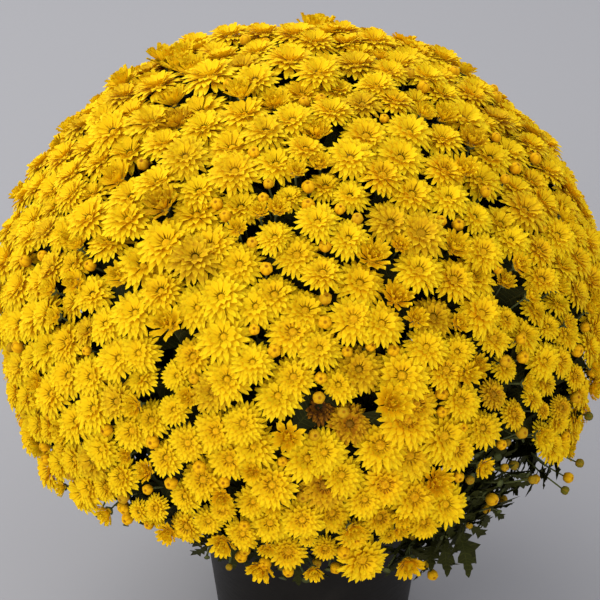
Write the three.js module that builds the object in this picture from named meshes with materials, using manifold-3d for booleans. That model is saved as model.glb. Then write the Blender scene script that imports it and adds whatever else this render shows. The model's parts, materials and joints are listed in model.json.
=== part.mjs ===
// A pot chrysanthemum: a nursery pot filled with potting mix, leafy stems that stand in holes in the mix,
// and on each stem a spray of yellow blooms. Millimetres, +Z up, origin in the middle of the pot's underside.
import * as THREE from "three";
import { mergeVertices } from "three/addons/utils/BufferGeometryUtils.js";
import Module from "manifold-3d";

const wasm = await Module();
wasm.setup();

const vec = (x, y, z) => new THREE.Vector3(x, y, z);
const UP = vec(0, 0, 1);
const GOLDEN_ANGLE = Math.PI * (3 - Math.sqrt(5));

// ---- driving dimensions ----
const GAP = 0.35; // what touching pieces keep between them

const POT = {
  height: 185,
  rimRadius: 120, // outside of the wall at the top
  baseRadius: 101,
  wall: 2.4,
  floor: 3,
  lipDepth: 15,
  lipOut: 3,
  lipEase: 1, // bevels of the lip
  rimEase: 1.5,
  sides: 22,
  drainCount: 4,
  drainRadius: 7,
  drainCircle: 74,
};

const SOIL = {
  top: 162,
  crown: 7, // rise of the mix towards the middle
  crownReach: 0.6, // how far out its flat top reaches
  sides: 16,
  holeClearance: 0.9,
  holeBelow: 2, // a hole goes this far below the stem's foot
  holeLength: 62,
};

// Bloom seats lie on two half ellipsoids that share one equator.
const CANOPY = { middle: vec(-13, 0, 400), radius: 288, rise: 256, drop: 280 };

const BLOOMS = {
  lattice: 672, // seats on the whole lattice, before the ragged lower edge leaves some out
  lowest: -0.44, // sine of the latitude where the lattice ends
  edge: -0.33, // mean sine of the lower edge, which hangs in lobes
  lobe: 0.06,
  lobes: 5,
  lobeTurn: -1.48,
  gap: 0.3, // how much higher the edge is in the leafy gap at the right of the front
  gapTurn: -0.9,
  gapWidth: 0.3,
  wander: 7.5, // sideways draw
  ripple: 6.5, // in and out
  tilt: 0.16, // draw of the way a bloom faces
  petals: 5,
  smallest: 19,
  largest: 24,
  halfOpen: 0.1, // share of blooms that are only half open
  halfOpenRadius: 13.5,
  halfOpenCup: 6,
  halfOpenDome: 8,
  cup: 1.5, // petal tips above the notches
  cupDraw: 2,
  dome: 6.5, // middle of a bloom above its notches
  lookUp: 0.55, // how far a bloom turns from the canopy's outward direction towards the light
  notch: 0.78, // notch between petals, as a share of the petal's reach
  apart: 0.25, // each bloom's side of the gap to its neighbour
  inner: 1.8, // the same at the notches
  ridge: 1.2, // how far the top of a join stands out from both blooms
  shingle: 1, // how far blooms are parted in their own plane, from 0 to 1
  near: 62, // blooms further apart than this can't meet
  aim: 0.8, // radians: a petal that joins a neighbour points at least this nearly there
  passes: 12, // rounds that move the top of a join inside its bounds
};

const STEMS = {
  count: 24,
  firstTurn: 0.4,
  apex: vec(0, 0, 112), // the stems spread as if from here
  flattest: 0.5, // rise of a heading that is lower than this, where its stem leaves the mix
  upright: 1.2, // how much straighter than its heading a stem stands in the mix
  bend: 0.55, // share of the length where it has come to its heading
  depth: 26, // below the top of the mix
  straight: 0.2, // share of the length that rises straight from the hole
  soft: 0.2, // share of the length that bends slowly after that
  foot: 3.4, // radius at the foot
  top: 2.2,
  reach: 0.8, // share of the way to the canopy where a stem ends in its pedicels
  bareReach: 0.93, // the same in the leafy gap
  lift: 0.12, // how far low stems arch
  pedicelFoot: 1.5,
  pedicelTop: 1,
  point: 4, // height of the point that the pedicels grow from
  thirdEase: 0.1, // what each pedicel keeps from its neighbour's third of the round, in radians
  under: 0.2, // what a pedicel keeps from its bloom besides the gap
  aside: 6, // blooms nearer than this to the stem's own line are left out
  neck: 15, // length of a pedicel below its bloom that runs along the bloom's axis
  lowBelow: 0.2, // stems whose sine of latitude is below this carry more leaves
};

const LEAF = {
  length: 62,
  width: 44,
  thick: 2,
  droop: 9,
  node: 6, // length of stem that one leaf grows from
  clear: 0.5, // what a leaf keeps from everything else
  off: 0.6, // how far off its stem it is tried
  slope: 0.85, // angle to the stem, in radians
  lowSlope: 1.15,
  slopeDraw: 0.25,
  sway: 0.5, // how far it turns aside
  ribs: [0.36, 0.74], // corners of the raised rib along the leaf
  sizes: [1.15, 1, 0.85, 0.7, 0.55], // tried in turn until the leaf is clear
  trial: 1.04, // how much larger the tried leaf is
  upper: { nodes: 2, from: 0.66, to: 0.93, leaves: 2 },
  lower: { nodes: 5, from: 0.34, to: 0.94, leaves: 9 },
  bare: { nodes: 8, from: 0.3, to: 0.97, leaves: 16 }, // a stem in the leafy gap
};

const COLOURS = {
  pot: { color: 0x1f1d1b, roughness: 0.6 },
  soil: { color: 0x2a2018, roughness: 1 },
  stem: { color: 0x2f4a1c, roughness: 0.7 },
  bloom: { color: 0xf2c200, roughness: 0.65 },
};

// What each fixed draw is for.
const SALT = { up: 1, round: 2, tilt: 3, ripple: 6, open: 7, size: 8, cup: 9, side: 20, sway: 22, slope: 23 };

// A fixed draw between 0 and 1 for each index and salt.
function draw(index, salt) {
  const s = Math.sin(index * 12.9898 + salt * 78.233) * 43758.5453;
  return s - Math.floor(s);
}

const spread = (index, salt) => 2 * draw(index, salt) - 1;

// ---- solids ----
function solid(geometry) {
  const plain = geometry.index ? geometry.toNonIndexed() : geometry.clone();
  const bare = new THREE.BufferGeometry().setAttribute("position", plain.getAttribute("position"));
  const merged = mergeVertices(bare, 1e-4);
  return new wasm.Manifold(
    new wasm.Mesh({
      numProp: 3,
      vertProperties: merged.attributes.position.array,
      triVerts: new Uint32Array(merged.index.array),
    }),
  );
}

function geometryOf(manifold) {
  const mesh = manifold.getMesh();
  return new THREE.BufferGeometry()
    .setAttribute("position", new THREE.BufferAttribute(mesh.vertProperties, 3))
    .setIndex(new THREE.BufferAttribute(mesh.triVerts, 1));
}

function closedGeometry(points, triangles) {
  const flat = new Float32Array(points.flatMap((p) => [p.x, p.y, p.z]));
  return new THREE.BufferGeometry()
    .setAttribute("position", new THREE.BufferAttribute(flat, 3))
    .setIndex(triangles.flat());
}

function meshOf(name, geometry, look) {
  const mesh = new THREE.Mesh(geometry, new THREE.MeshStandardMaterial({ metalness: 0, ...look }));
  mesh.name = name;
  return mesh;
}

// Corners and outward faces of one closed body, whose facets can be opened for what grows there.
class Skin {
  points = [];
  faces = [];

  add(point) {
    return this.points.push(point) - 1;
  }

  // A ring of three corners round a centre, turning left about the way it faces.
  ring(centre, first, second, radius) {
    return [0, 1, 2].map((k) => {
      const angle = (k * 2 * Math.PI) / 3;
      const corner = centre.clone().addScaledVector(first, radius * Math.cos(angle));
      return this.add(corner.addScaledVector(second, radius * Math.sin(angle)));
    });
  }

  // Facets between two rings.
  band(lower, upper) {
    for (let k = 0; k < 3; k++) {
      const next = (k + 1) % 3;
      this.faces.push([lower[k], lower[next], upper[next]], [lower[k], upper[next], upper[k]]);
    }
  }

  geometry() {
    return closedGeometry(this.points, this.faces);
  }
}

// ---- pot and potting mix ----
function wallRadius(z) {
  return POT.baseRadius + ((POT.rimRadius - POT.baseRadius) * z) / POT.height;
}

function potGeometry() {
  const { height, wall, floor, lipOut, lipEase } = POT;
  const lipFoot = height - POT.lipDepth;
  const profile = [
    [0, 0],
    [POT.baseRadius, 0],
    [wallRadius(lipFoot), lipFoot],
    [wallRadius(lipFoot) + lipOut, lipFoot + lipEase],
    [wallRadius(height) + lipOut, height - lipEase],
    [wallRadius(height) + lipOut - POT.rimEase, height],
    [wallRadius(height) - wall, height],
    [wallRadius(floor) - wall, floor],
    [0, floor],
  ];
  const shell = new THREE.LatheGeometry(
    profile.map(([r, z]) => new THREE.Vector2(r, z)),
    POT.sides,
  ).rotateX(Math.PI / 2);
  let pot = solid(shell);
  for (let k = 0; k < POT.drainCount; k++) {
    const a = ((k + 0.5) * 2 * Math.PI) / POT.drainCount;
    const drill = new THREE.CylinderGeometry(POT.drainRadius, POT.drainRadius, 4 * floor, 6)
      .rotateX(Math.PI / 2)
      .translate(POT.drainCircle * Math.cos(a), POT.drainCircle * Math.sin(a), 0);
    pot = pot.subtract(solid(drill));
  }
  return geometryOf(pot);
}

function soilGeometry(stems) {
  const { top, crown, sides } = SOIL;
  const foot = POT.floor + GAP;
  const inside = Math.cos(Math.PI / POT.sides); // the pot's flats lie inside its corners
  const radiusAt = (z) => (wallRadius(z) - POT.wall) * inside - GAP;
  const profile = [
    [0, foot],
    [radiusAt(foot) - GAP, foot],
    [radiusAt(top), top],
    [SOIL.crownReach * radiusAt(top), top + crown],
    [0, top + crown],
  ];
  let soil = solid(
    new THREE.LatheGeometry(
      profile.map(([r, z]) => new THREE.Vector2(r, z)),
      sides,
    ).rotateX(Math.PI / 2),
  );
  for (const stem of stems) {
    const drill = new Skin();
    const ends = [-SOIL.holeBelow, SOIL.holeLength - SOIL.holeBelow];
    const [low, high] = ends.map((along) => {
      const centre = stem.foot.clone().addScaledVector(stem.upright, along);
      return stemRing(drill, stem, centre, stem.upright, STEMS.foot + SOIL.holeClearance);
    });
    drill.band(low, high);
    drill.faces.push([low[0], low[2], low[1]], high);
    soil = soil.subtract(solid(drill.geometry()));
  }
  return geometryOf(soil);
}

// ---- canopy ----
// Place and outward direction on the canopy at a sine of latitude and a turn.
function canopyAt(sine, turn) {
  const tall = sine > 0 ? CANOPY.rise : CANOPY.drop;
  const cosine = Math.sqrt(1 - sine * sine);
  const place = vec(
    CANOPY.radius * cosine * Math.cos(turn),
    CANOPY.radius * cosine * Math.sin(turn),
    tall * sine,
  );
  const outward = vec(
    place.x / CANOPY.radius ** 2,
    place.y / CANOPY.radius ** 2,
    place.z / tall ** 2,
  ).normalize();
  return { place: place.add(CANOPY.middle), outward };
}

// Sine of the latitude where the blooms end: lobes all round, and one gap where the leaves show.
function lowerEdge(turn) {
  const lobes = BLOOMS.lobe * Math.cos(BLOOMS.lobes * (turn - BLOOMS.lobeTurn));
  const aside = Math.atan2(Math.sin(turn - BLOOMS.gapTurn), Math.cos(turn - BLOOMS.gapTurn));
  return BLOOMS.edge - lobes + BLOOMS.gap * Math.exp(-((aside / BLOOMS.gapWidth) ** 2));
}

// Seats on a golden-angle spiral, each drawn a little aside, that lie above the lobed lower edge.
function bloomSeats() {
  const seats = [];
  const step = (1 - BLOOMS.lowest) / BLOOMS.lattice;
  for (let i = 0; i < BLOOMS.lattice; i++) {
    const even = 1 - (i + 0.5) * step;
    const cosine = Math.sqrt(1 - even * even);
    const sine = even + (BLOOMS.wander / CANOPY.rise) * cosine * spread(i, SALT.up);
    const turn = i * GOLDEN_ANGLE + ((BLOOMS.wander / CANOPY.radius) * spread(i, SALT.round)) / cosine;
    if (sine > 0.999 || sine < lowerEdge(turn)) continue;
    const { place, outward } = canopyAt(sine, turn);
    const axis = outward.clone().addScaledVector(UP, BLOOMS.lookUp);
    const [x, y, z] = [0, 1, 2].map((k) => spread(i, SALT.tilt + k));
    axis.addScaledVector(vec(x, y, z), BLOOMS.tilt).normalize();
    place.addScaledVector(outward, BLOOMS.ripple * spread(i, SALT.ripple));
    const open = draw(i, SALT.open) > BLOOMS.halfOpen;
    const radius = open
      ? BLOOMS.smallest + (BLOOMS.largest - BLOOMS.smallest) * draw(i, SALT.size)
      : BLOOMS.halfOpenRadius;
    seats.push({ index: i, place, axis, open, radius });
  }
  return seats;
}

// The side of a seat that faces another: the normal of the plane that parts their blooms halfway.
function partingNormal(seat, other) {
  const up = seat.axis.clone().add(other.axis).normalize();
  const away = other.place.clone().sub(seat.place);
  return away.addScaledVector(up, -BLOOMS.shingle * away.dot(up)).normalize();
}

// The point as far from the seat as asked, or as far as the planes that part it from its neighbours allow.
function heldBack(seat, point, apart) {
  const arm = point.clone().sub(seat.place);
  let share = 1;
  for (const { normal, half } of seat.planes) {
    const reach = arm.dot(normal);
    if (reach > half - apart) share = Math.min(share, (half - apart) / reach);
  }
  return seat.place.clone().addScaledVector(arm, share);
}

// Corners of one bloom: its raised middle, its petal tips and the notches between them.
function bloomCorners(seat, towards) {
  const side = towards.clone().sub(seat.place).projectOnPlane(seat.axis).normalize();
  const across = seat.axis.clone().cross(side);
  const at = (angle, reach, lift, apart) => {
    const point = seat.place.clone().addScaledVector(seat.axis, lift);
    point.addScaledVector(side, reach * Math.cos(angle));
    point.addScaledVector(across, reach * Math.sin(angle));
    return heldBack(seat, point, apart);
  };
  const slice = (2 * Math.PI) / BLOOMS.petals;
  const cup = seat.open ? BLOOMS.cup + BLOOMS.cupDraw * spread(seat.index, SALT.cup) : BLOOMS.halfOpenCup;
  const dome = seat.open ? BLOOMS.dome : BLOOMS.halfOpenDome;
  seat.middle = seat.place.clone().addScaledVector(seat.axis, dome);
  seat.tips = [];
  seat.notches = [];
  for (let k = 0; k < BLOOMS.petals; k++) {
    seat.tips.push(at(k * slice, seat.radius, cup, BLOOMS.apart));
    seat.notches.push(at((k - 0.5) * slice, BLOOMS.notch * seat.radius, 0, BLOOMS.inner));
  }
  seat.taken = new Set();
}

// Joins the seats of one spray into a tree, each to the nearest one that has a free petal on that side.
function joinSpray(spray) {
  const [first, ...rest] = spray;
  bloomCorners(first, first.place.clone().add(vec(1, 0.3, 0)));
  const joined = [first];
  const bridges = [];
  while (rest.length) {
    let best = null;
    for (const parent of joined)
      for (const child of rest) {
        const distance = parent.place.distanceTo(child.place);
        if (best && distance >= best.distance) continue;
        const petal = freePetal(parent, child.place);
        if (petal >= 0) best = { distance, parent, child, petal };
      }
    const { parent, child, petal } = best;
    bloomCorners(child, parent.place);
    parent.taken.add(petal);
    child.taken.add(0);
    bridges.push({ from: parent, to: child, petal });
    joined.push(child);
    rest.splice(rest.indexOf(child), 1);
  }
  return bridges;
}

function freePetal(seat, place) {
  let found = -1;
  let least = BLOOMS.aim;
  for (let k = 0; k < BLOOMS.petals; k++) {
    const petal = seat.tips[k].clone().sub(seat.place).projectOnPlane(seat.axis);
    const angle = petal.angleTo(place.clone().sub(seat.place).projectOnPlane(seat.axis));
    if (angle < least && !seat.taken.has(k)) [found, least] = [k, angle];
  }
  return found;
}

// The top of the join of two blooms: halfway, above the slopes that lead to it, outside of both undersides
// and above its own underside.
function saddle(from, to, near, far, points) {
  const top = new THREE.Vector3();
  for (const i of [...near, ...far]) top.addScaledVector(points[i], 0.25);
  const bounds = [];
  for (const [seat, left, right] of [
    [from, points[near[0]], points[near[1]]],
    [to, points[far[1]], points[far[0]]],
  ]) {
    const slope = new THREE.Triangle(points[seat.c], left, right).getNormal(new THREE.Vector3());
    const outward = right.clone().sub(left).cross(seat.axis).normalize();
    bounds.push([points[seat.c], slope], [left, outward]);
  }
  const [a, b, c, d] = [...near, ...far.toReversed()].map((i) => points[i]);
  for (const corners of [
    [a, c, b],
    [a, d, c],
  ])
    bounds.push([a, new THREE.Triangle(...corners).getNormal(new THREE.Vector3())]);
  for (let pass = 0; pass < BLOOMS.passes; pass++)
    for (const [point, normal] of bounds) {
      const short = BLOOMS.ridge - top.clone().sub(point).dot(normal);
      if (short > 0) top.addScaledVector(normal, short);
    }
  return top;
}

// One closed surface: star-shaped blooms with flat undersides, joined petal to petal.
function sprayGeometry(spray) {
  const points = [];
  const triangles = [];
  const add = (p) => points.push(p) - 1;
  const n = BLOOMS.petals;
  const bridges = joinSpray(spray);
  for (const seat of spray) {
    const c = (seat.c = add(seat.middle));
    seat.t = seat.tips.map((tip, k) => (seat.taken.has(k) ? -1 : add(tip)));
    seat.n = seat.notches.map(add);
    for (let k = 0; k < n; k++) {
      const [right, tip, left] = [seat.n[k], seat.t[k], seat.n[(k + 1) % n]];
      if (tip < 0) continue;
      triangles.push([c, right, tip], [c, tip, left], [right, left, tip]);
    }
    for (let k = 1; k < n - 1; k++) triangles.push([seat.n[0], seat.n[k + 1], seat.n[k]]);
  }
  for (const { from, to, petal } of bridges) {
    const [a, b] = [from.n[petal], from.n[(petal + 1) % n]];
    const [c, d] = [to.n[0], to.n[1]];
    const m = add(saddle(from, to, [a, b], [d, c], points));
    triangles.push([from.c, a, m], [a, d, m], [d, to.c, m]);
    triangles.push([from.c, m, b], [b, m, c], [c, m, to.c]);
    triangles.push([a, b, c], [a, c, d]);
  }
  return closedGeometry(points, triangles);
}

// ---- stems ----
// Stems stand in a spiral in the pot and lead to even places under the canopy.
function stemLines() {
  const stems = [];
  const lowest = BLOOMS.edge - 0.02;
  for (let i = 0; i < STEMS.count; i++) {
    const sine = 1 - ((1 - lowest) * (i + 0.5)) / STEMS.count;
    const turn = i * GOLDEN_ANGLE + STEMS.firstTurn;
    const goal = canopyAt(sine, turn).place;
    const length = STEMS.apex.distanceTo(goal);
    const heading = goal.clone().sub(STEMS.apex).normalize();
    const upright = heading.clone().addScaledVector(UP, STEMS.upright).normalize();
    const rise = (SOIL.top - STEMS.apex.z) / Math.max(heading.z, STEMS.flattest);
    const mouth = STEMS.apex.clone().addScaledVector(heading, rise);
    mouth.z = SOIL.top;
    const foot = mouth.clone().addScaledVector(upright, -STEMS.depth);
    const knee = foot.clone().addScaledVector(upright, STEMS.straight * length);
    const bare = sine < lowerEdge(turn);
    const end = STEMS.apex.clone().lerp(goal, bare ? STEMS.bareReach : STEMS.reach);
    const bend = STEMS.apex.clone().addScaledVector(heading, STEMS.bend * length);
    bend.z += STEMS.lift * length * (1 - heading.z);
    const line = new THREE.CurvePath();
    line.add(new THREE.LineCurve3(foot, knee));
    const above = knee.clone().addScaledVector(upright, STEMS.soft * length);
    line.add(new THREE.CubicBezierCurve3(knee, above, bend, end));
    const across = heading.clone().cross(UP).normalize();
    const low = sine < STEMS.lowBelow;
    const plan = bare ? LEAF.bare : low ? LEAF.lower : LEAF.upper;
    stems.push({ index: i, heading, low, plan, foot, upright, across, line });
  }
  return stems;
}

function stemRing(skin, stem, centre, forward, radius) {
  const first = stem.across.clone().cross(forward).normalize();
  return skin.ring(centre, first, stem.across, radius);
}

// The stem and its pedicels. Its facets at the nodes are left open for leaves.
function stemCore(stem, spray) {
  const skin = new Skin();
  const { line } = stem;
  const length = line.getLength();
  const ringAt = (share) => {
    const radius = STEMS.foot + (STEMS.top - STEMS.foot) * share;
    return stemRing(skin, stem, line.getPoint(share), line.getTangent(share), radius);
  };
  const { nodes, from, to } = stem.plan;
  let below = ringAt(0);
  skin.faces.push([below[0], below[2], below[1]]);
  const knee = ringAt(line.curves[0].getLength() / length);
  skin.band(below, knee);
  below = knee;
  const sockets = [];
  for (let node = 0; node < nodes; node++) {
    const share = from + ((to - from) * node) / (nodes - 1);
    const lower = ringAt(share - LEAF.node / 2 / length);
    const upper = ringAt(share + LEAF.node / 2 / length);
    skin.band(below, lower);
    for (let side = 0; side < 3; side++) {
      const next = (side + 1) % 3;
      const corners = [lower[side], lower[next], upper[next], upper[side]];
      sockets.push({ corners, forward: line.getTangent(share), centre: line.getPoint(share) });
    }
    below = upper;
  }
  const last = ringAt(1);
  skin.band(below, last);
  const apex = skin.add(line.getPoint(1).addScaledVector(line.getTangent(1), STEMS.point));
  for (let side = 0; side < 3; side++) {
    const facet = [last[side], last[(side + 1) % 3], apex];
    const seat = nearestSeat(skin, facet, line.getTangent(1), spray);
    if (seat) growPedicel(skin, facet, seat);
    else skin.faces.push(facet);
  }
  return { skin, sockets };
}

// The nearest bloom on a facet's own side of the stem, a third of the way round.
function nearestSeat(skin, facet, forward, spray) {
  const corners = facet.map((i) => skin.points[i]);
  const out = new THREE.Triangle(...corners).getNormal(new THREE.Vector3()).projectOnPlane(forward);
  const faced = spray.filter((seat) => {
    const way = seat.place.clone().sub(corners[2]).projectOnPlane(forward);
    return way.length() > STEMS.aside && way.angleTo(out) < Math.PI / 3 - STEMS.thirdEase;
  });
  faced.sort((p, q) => p.place.distanceTo(corners[2]) - q.place.distanceTo(corners[2]));
  return faced[0];
}

// A pedicel out of a three-cornered facet, that comes up under its bloom.
function growPedicel(skin, facet, seat) {
  const centre = new THREE.Vector3();
  for (const i of facet) centre.addScaledVector(skin.points[i], 1 / 3);
  const elbow = seat.place.clone().addScaledVector(seat.axis, -STEMS.neck);
  const under = seat.place.clone().addScaledVector(seat.axis, -GAP - STEMS.under);
  const bend = elbow.clone().sub(centre).normalize().add(seat.axis).normalize();
  let below = facet;
  for (const [place, way, radius] of [
    [elbow, bend, STEMS.pedicelFoot],
    [under, seat.axis, STEMS.pedicelTop],
  ]) {
    const middle = new THREE.Vector3();
    for (const i of below) middle.addScaledVector(skin.points[i], 1 / 3);
    const ring = below.map((i) => {
      const arm = skin.points[i].clone().sub(middle).projectOnPlane(way);
      return skin.add(place.clone().add(arm.setLength(radius)));
    });
    skin.band(below, ring);
    below = ring;
  }
  skin.faces.push(below);
}

// A leaf with two pairs of lobes on each side, thickest along its rib and arched along its length.
const HALF_LEAF = [
  [0.32, 0.32],
  [0.46, 0.19],
  [0.7, 0.46],
  [0.82, 0.2],
];

function leafShape(root, along, facing, size, spare = 0) {
  const left = facing.clone().cross(along).normalize();
  const top = along.clone().cross(left);
  const at = (x, y, lift) =>
    root
      .clone()
      .addScaledVector(along, x * LEAF.length * size)
      .addScaledVector(left, y * LEAF.width * size)
      .addScaledVector(top, lift - LEAF.droop * size * x * x);
  return {
    left: HALF_LEAF.map(([x, y]) => at(x, -y, -spare)),
    right: HALF_LEAF.map(([x, y]) => at(x, y, -spare)),
    tip: at(1, 0, -spare),
    ribs: LEAF.ribs.map((x) => at(x, 0, LEAF.thick + spare)),
  };
}

function growLeaf(skin, [a, b, c, d], leaf) {
  const [l1, l2, l3, l4] = leaf.left.map((p) => skin.add(p));
  const [r1, r2, r3, r4] = leaf.right.map((p) => skin.add(p));
  const tip = skin.add(leaf.tip);
  const [low, high] = leaf.ribs.map((p) => skin.add(p));
  skin.faces.push([d, low, c], [c, low, r1], [r1, low, r2], [r2, low, high]);
  skin.faces.push([r2, high, r3], [r3, high, r4], [r4, high, tip]);
  skin.faces.push([d, l1, low], [l1, l2, low], [l2, high, low]);
  skin.faces.push([l2, l3, high], [l3, l4, high], [l4, tip, high]);
  skin.faces.push([b, c, r1], [a, l1, d], [a, b, r1], [a, r1, l1]);
  skin.faces.push([l1, r1, r2], [l1, r2, l2], [l2, r2, r3], [l2, r3, l3]);
  skin.faces.push([l3, r3, r4], [l3, r4, l4], [l4, r4, tip]);
}

// A slightly larger leaf as a body of its own, just off its stem, to try whether it is clear of everything.
function trialLeaf(leaf, facet, out) {
  const skin = new Skin();
  const [a, b, c, d] = facet.map((p) => skin.add(p.clone().addScaledVector(out, LEAF.off)));
  growLeaf(skin, [a, b, c, d], leaf);
  skin.faces.push([a, d, c], [a, c, b]);
  return bodyOf(skin.geometry());
}

// Leaves at the open facets of a stem, each as large as it can be clear of the bodies that are there already.
function growLeaves(stem, core, bodies) {
  const { skin, sockets } = core;
  const turn = Math.floor(3 * draw(stem.index, SALT.side));
  const order = [...sockets.keys()].sort((p, q) => ((p + turn) % 3) - ((q + turn) % 3) || q - p);
  let grown = 0;
  for (const k of order) {
    const { corners, forward, centre } = sockets[k];
    const facet = corners.map((i) => skin.points[i]);
    const leaf = grown < stem.plan.leaves && fittingLeaf(stem, k, facet, centre, forward, bodies);
    if (leaf) {
      growLeaf(skin, corners, leaf.shape);
      bodies.push(leaf.trial);
      grown++;
    } else {
      const [p, q, r, s] = corners;
      skin.faces.push([p, q, r], [p, r, s]);
    }
  }
}

function fittingLeaf(stem, k, facet, centre, forward, bodies) {
  const root = new THREE.Vector3();
  for (const corner of facet) root.addScaledVector(corner, 0.25);
  const out = root.clone().sub(centre).normalize();
  const sideways = forward.clone().cross(out);
  const leafIndex = stem.index * 31 + k;
  const sway = LEAF.sway * spread(leafIndex, SALT.sway);
  const slope = (stem.low ? LEAF.lowSlope : LEAF.slope) + LEAF.slopeDraw * spread(leafIndex, SALT.slope);
  const aim = out.clone().multiplyScalar(Math.cos(sway)).addScaledVector(sideways, Math.sin(sway));
  const along = forward.clone().multiplyScalar(Math.cos(slope)).addScaledVector(aim, Math.sin(slope));
  for (const size of LEAF.sizes) {
    const larger = leafShape(root, along, forward, LEAF.trial * size, LEAF.clear);
    const trial = trialLeaf(larger, facet, out);
    if (bodies.every((other) => isClear(trial, other)))
      return { shape: leafShape(root, along, forward, size), trial };
  }
  return null;
}

function bodyOf(geometry) {
  geometry.computeBoundingBox();
  return { body: solid(geometry), box: geometry.boundingBox };
}

function isClear(one, other) {
  return !one.box.intersectsBox(other.box) || one.body.intersect(other.body).isEmpty();
}

// ---- assembly ----
const seats = bloomSeats();
const stems = stemLines();
for (const seat of seats) {
  seat.planes = seats
    .filter((other) => other !== seat && other.place.distanceTo(seat.place) < BLOOMS.near)
    .map((other) => {
      const normal = partingNormal(seat, other);
      return { normal, half: other.place.clone().sub(seat.place).dot(normal) / 2 };
    });
  const heading = seat.place.clone().sub(STEMS.apex).normalize();
  seat.stem = stems.reduce((a, b) => (b.heading.dot(heading) > a.heading.dot(heading) ? b : a));
}

const potShape = potGeometry();
const soilShape = soilGeometry(stems);
const bodies = [bodyOf(potShape), bodyOf(soilShape)];
for (const stem of stems) {
  const spray = seats.filter((seat) => seat.stem === stem);
  stem.bloomShape = sprayGeometry(spray);
  stem.core = stemCore(stem, spray);
  bodies.push(bodyOf(stem.bloomShape));
}
for (const stem of stems) {
  const { skin, sockets } = stem.core;
  const plain = sockets.flatMap(({ corners: [a, b, c, d] }) => [[a, b, c], [a, c, d]]);
  bodies.push(bodyOf(closedGeometry(skin.points, [...skin.faces, ...plain])));
}
for (const stem of stems) growLeaves(stem, stem.core, bodies);

const plant = new THREE.Group();
plant.name = "pot_chrysanthemum";
plant.add(meshOf("pot", potShape, COLOURS.pot));
plant.add(meshOf("soil", soilShape, COLOURS.soil));
for (const stem of stems) {
  const number = String(stem.index + 1).padStart(2, "0");
  plant.add(meshOf("blooms_" + number, stem.bloomShape, COLOURS.bloom));
  plant.add(meshOf("stem_" + number, stem.core.skin.geometry(), COLOURS.stem));
}

export default plant;
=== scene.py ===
import json
import math
import bpy
import numpy as np
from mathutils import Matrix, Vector

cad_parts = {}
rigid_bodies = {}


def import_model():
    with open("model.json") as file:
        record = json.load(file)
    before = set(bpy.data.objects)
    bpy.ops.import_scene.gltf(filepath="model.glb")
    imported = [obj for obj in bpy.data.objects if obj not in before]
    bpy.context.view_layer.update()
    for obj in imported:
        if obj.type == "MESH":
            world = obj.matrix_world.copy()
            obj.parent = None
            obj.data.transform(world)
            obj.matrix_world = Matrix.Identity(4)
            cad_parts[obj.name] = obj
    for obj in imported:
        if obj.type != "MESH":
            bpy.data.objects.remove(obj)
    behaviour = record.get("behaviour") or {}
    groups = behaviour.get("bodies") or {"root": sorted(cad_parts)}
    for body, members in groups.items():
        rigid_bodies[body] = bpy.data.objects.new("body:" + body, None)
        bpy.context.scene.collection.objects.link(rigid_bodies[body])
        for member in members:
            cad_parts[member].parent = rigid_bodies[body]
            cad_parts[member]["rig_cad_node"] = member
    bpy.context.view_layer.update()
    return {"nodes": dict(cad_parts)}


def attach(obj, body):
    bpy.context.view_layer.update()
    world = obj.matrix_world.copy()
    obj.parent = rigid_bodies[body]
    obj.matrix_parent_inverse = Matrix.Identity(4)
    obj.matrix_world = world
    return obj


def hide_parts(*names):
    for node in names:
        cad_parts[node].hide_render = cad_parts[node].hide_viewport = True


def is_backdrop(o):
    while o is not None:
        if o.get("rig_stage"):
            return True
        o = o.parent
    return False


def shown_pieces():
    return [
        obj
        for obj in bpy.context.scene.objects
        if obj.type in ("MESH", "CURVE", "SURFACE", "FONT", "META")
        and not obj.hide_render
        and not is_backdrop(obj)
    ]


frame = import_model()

scene = bpy.context.scene
scene.view_settings.view_transform = "Standard"
goldenAngle = math.pi * (3 - math.sqrt(5))
fullTurn = 6.283  # radians, near enough for a random turn
up = np.array([0.0, 0.0, 1.0])
print("frame loaded:", len(frame["nodes"]), "nodes")


# Small tools. Lengths are in millimetres until a mesh is made.
def draw(index, salt):  # a fixed draw from 0 to 1 for each index and salt
    wave = np.sin(np.asarray(index) * 12.9898 + salt * 78.233) * 43758.5453
    return wave - np.floor(wave)


def spread(index, salt):  # the same from -1 to 1
    return 2 * draw(index, salt) - 1


def anyWay(index, salt):  # three of these in one direction, drawn with this salt and the next two
    return np.stack([spread(index, salt + k) for k in range(3)], -1)


def unit(v):  # each vector over its own length
    return v / np.maximum(np.linalg.norm(v, axis=-1, keepdims=True), 1e-9)


def along(a, b):  # dot products, kept as a last axis of one
    return np.sum(a * b, axis=-1, keepdims=True)


def mixed(low, high, share):  # the share of the way from low to high
    return low + (high - low) * share


def leaning(outward, rule, index, salt):  # outwards, with some of up and of a random direction added
    return unit(outward + rule["lookUp"] * up + rule["tilt"] * anyWay(index, salt))


def chosen(table, rows):  # the same rows of every column
    return {key: values[rows] for key, values in table.items()}


# Shapes that repeat. Each gives points, four-cornered and three-cornered faces, and its rim's points.
def copies(points, quads, tris, rim):  # the same faces on every row of points
    count, size = points.shape[:2]
    step = (np.arange(count) * size)[:, None, None]
    return {
        "points": points.reshape(-1, 3),
        "quads": (quads[None] + step).reshape(-1, 4),
        "tris": (tris[None] + step).reshape(-1, 3),
        "rim": np.tile(rim, count),
    }


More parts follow.
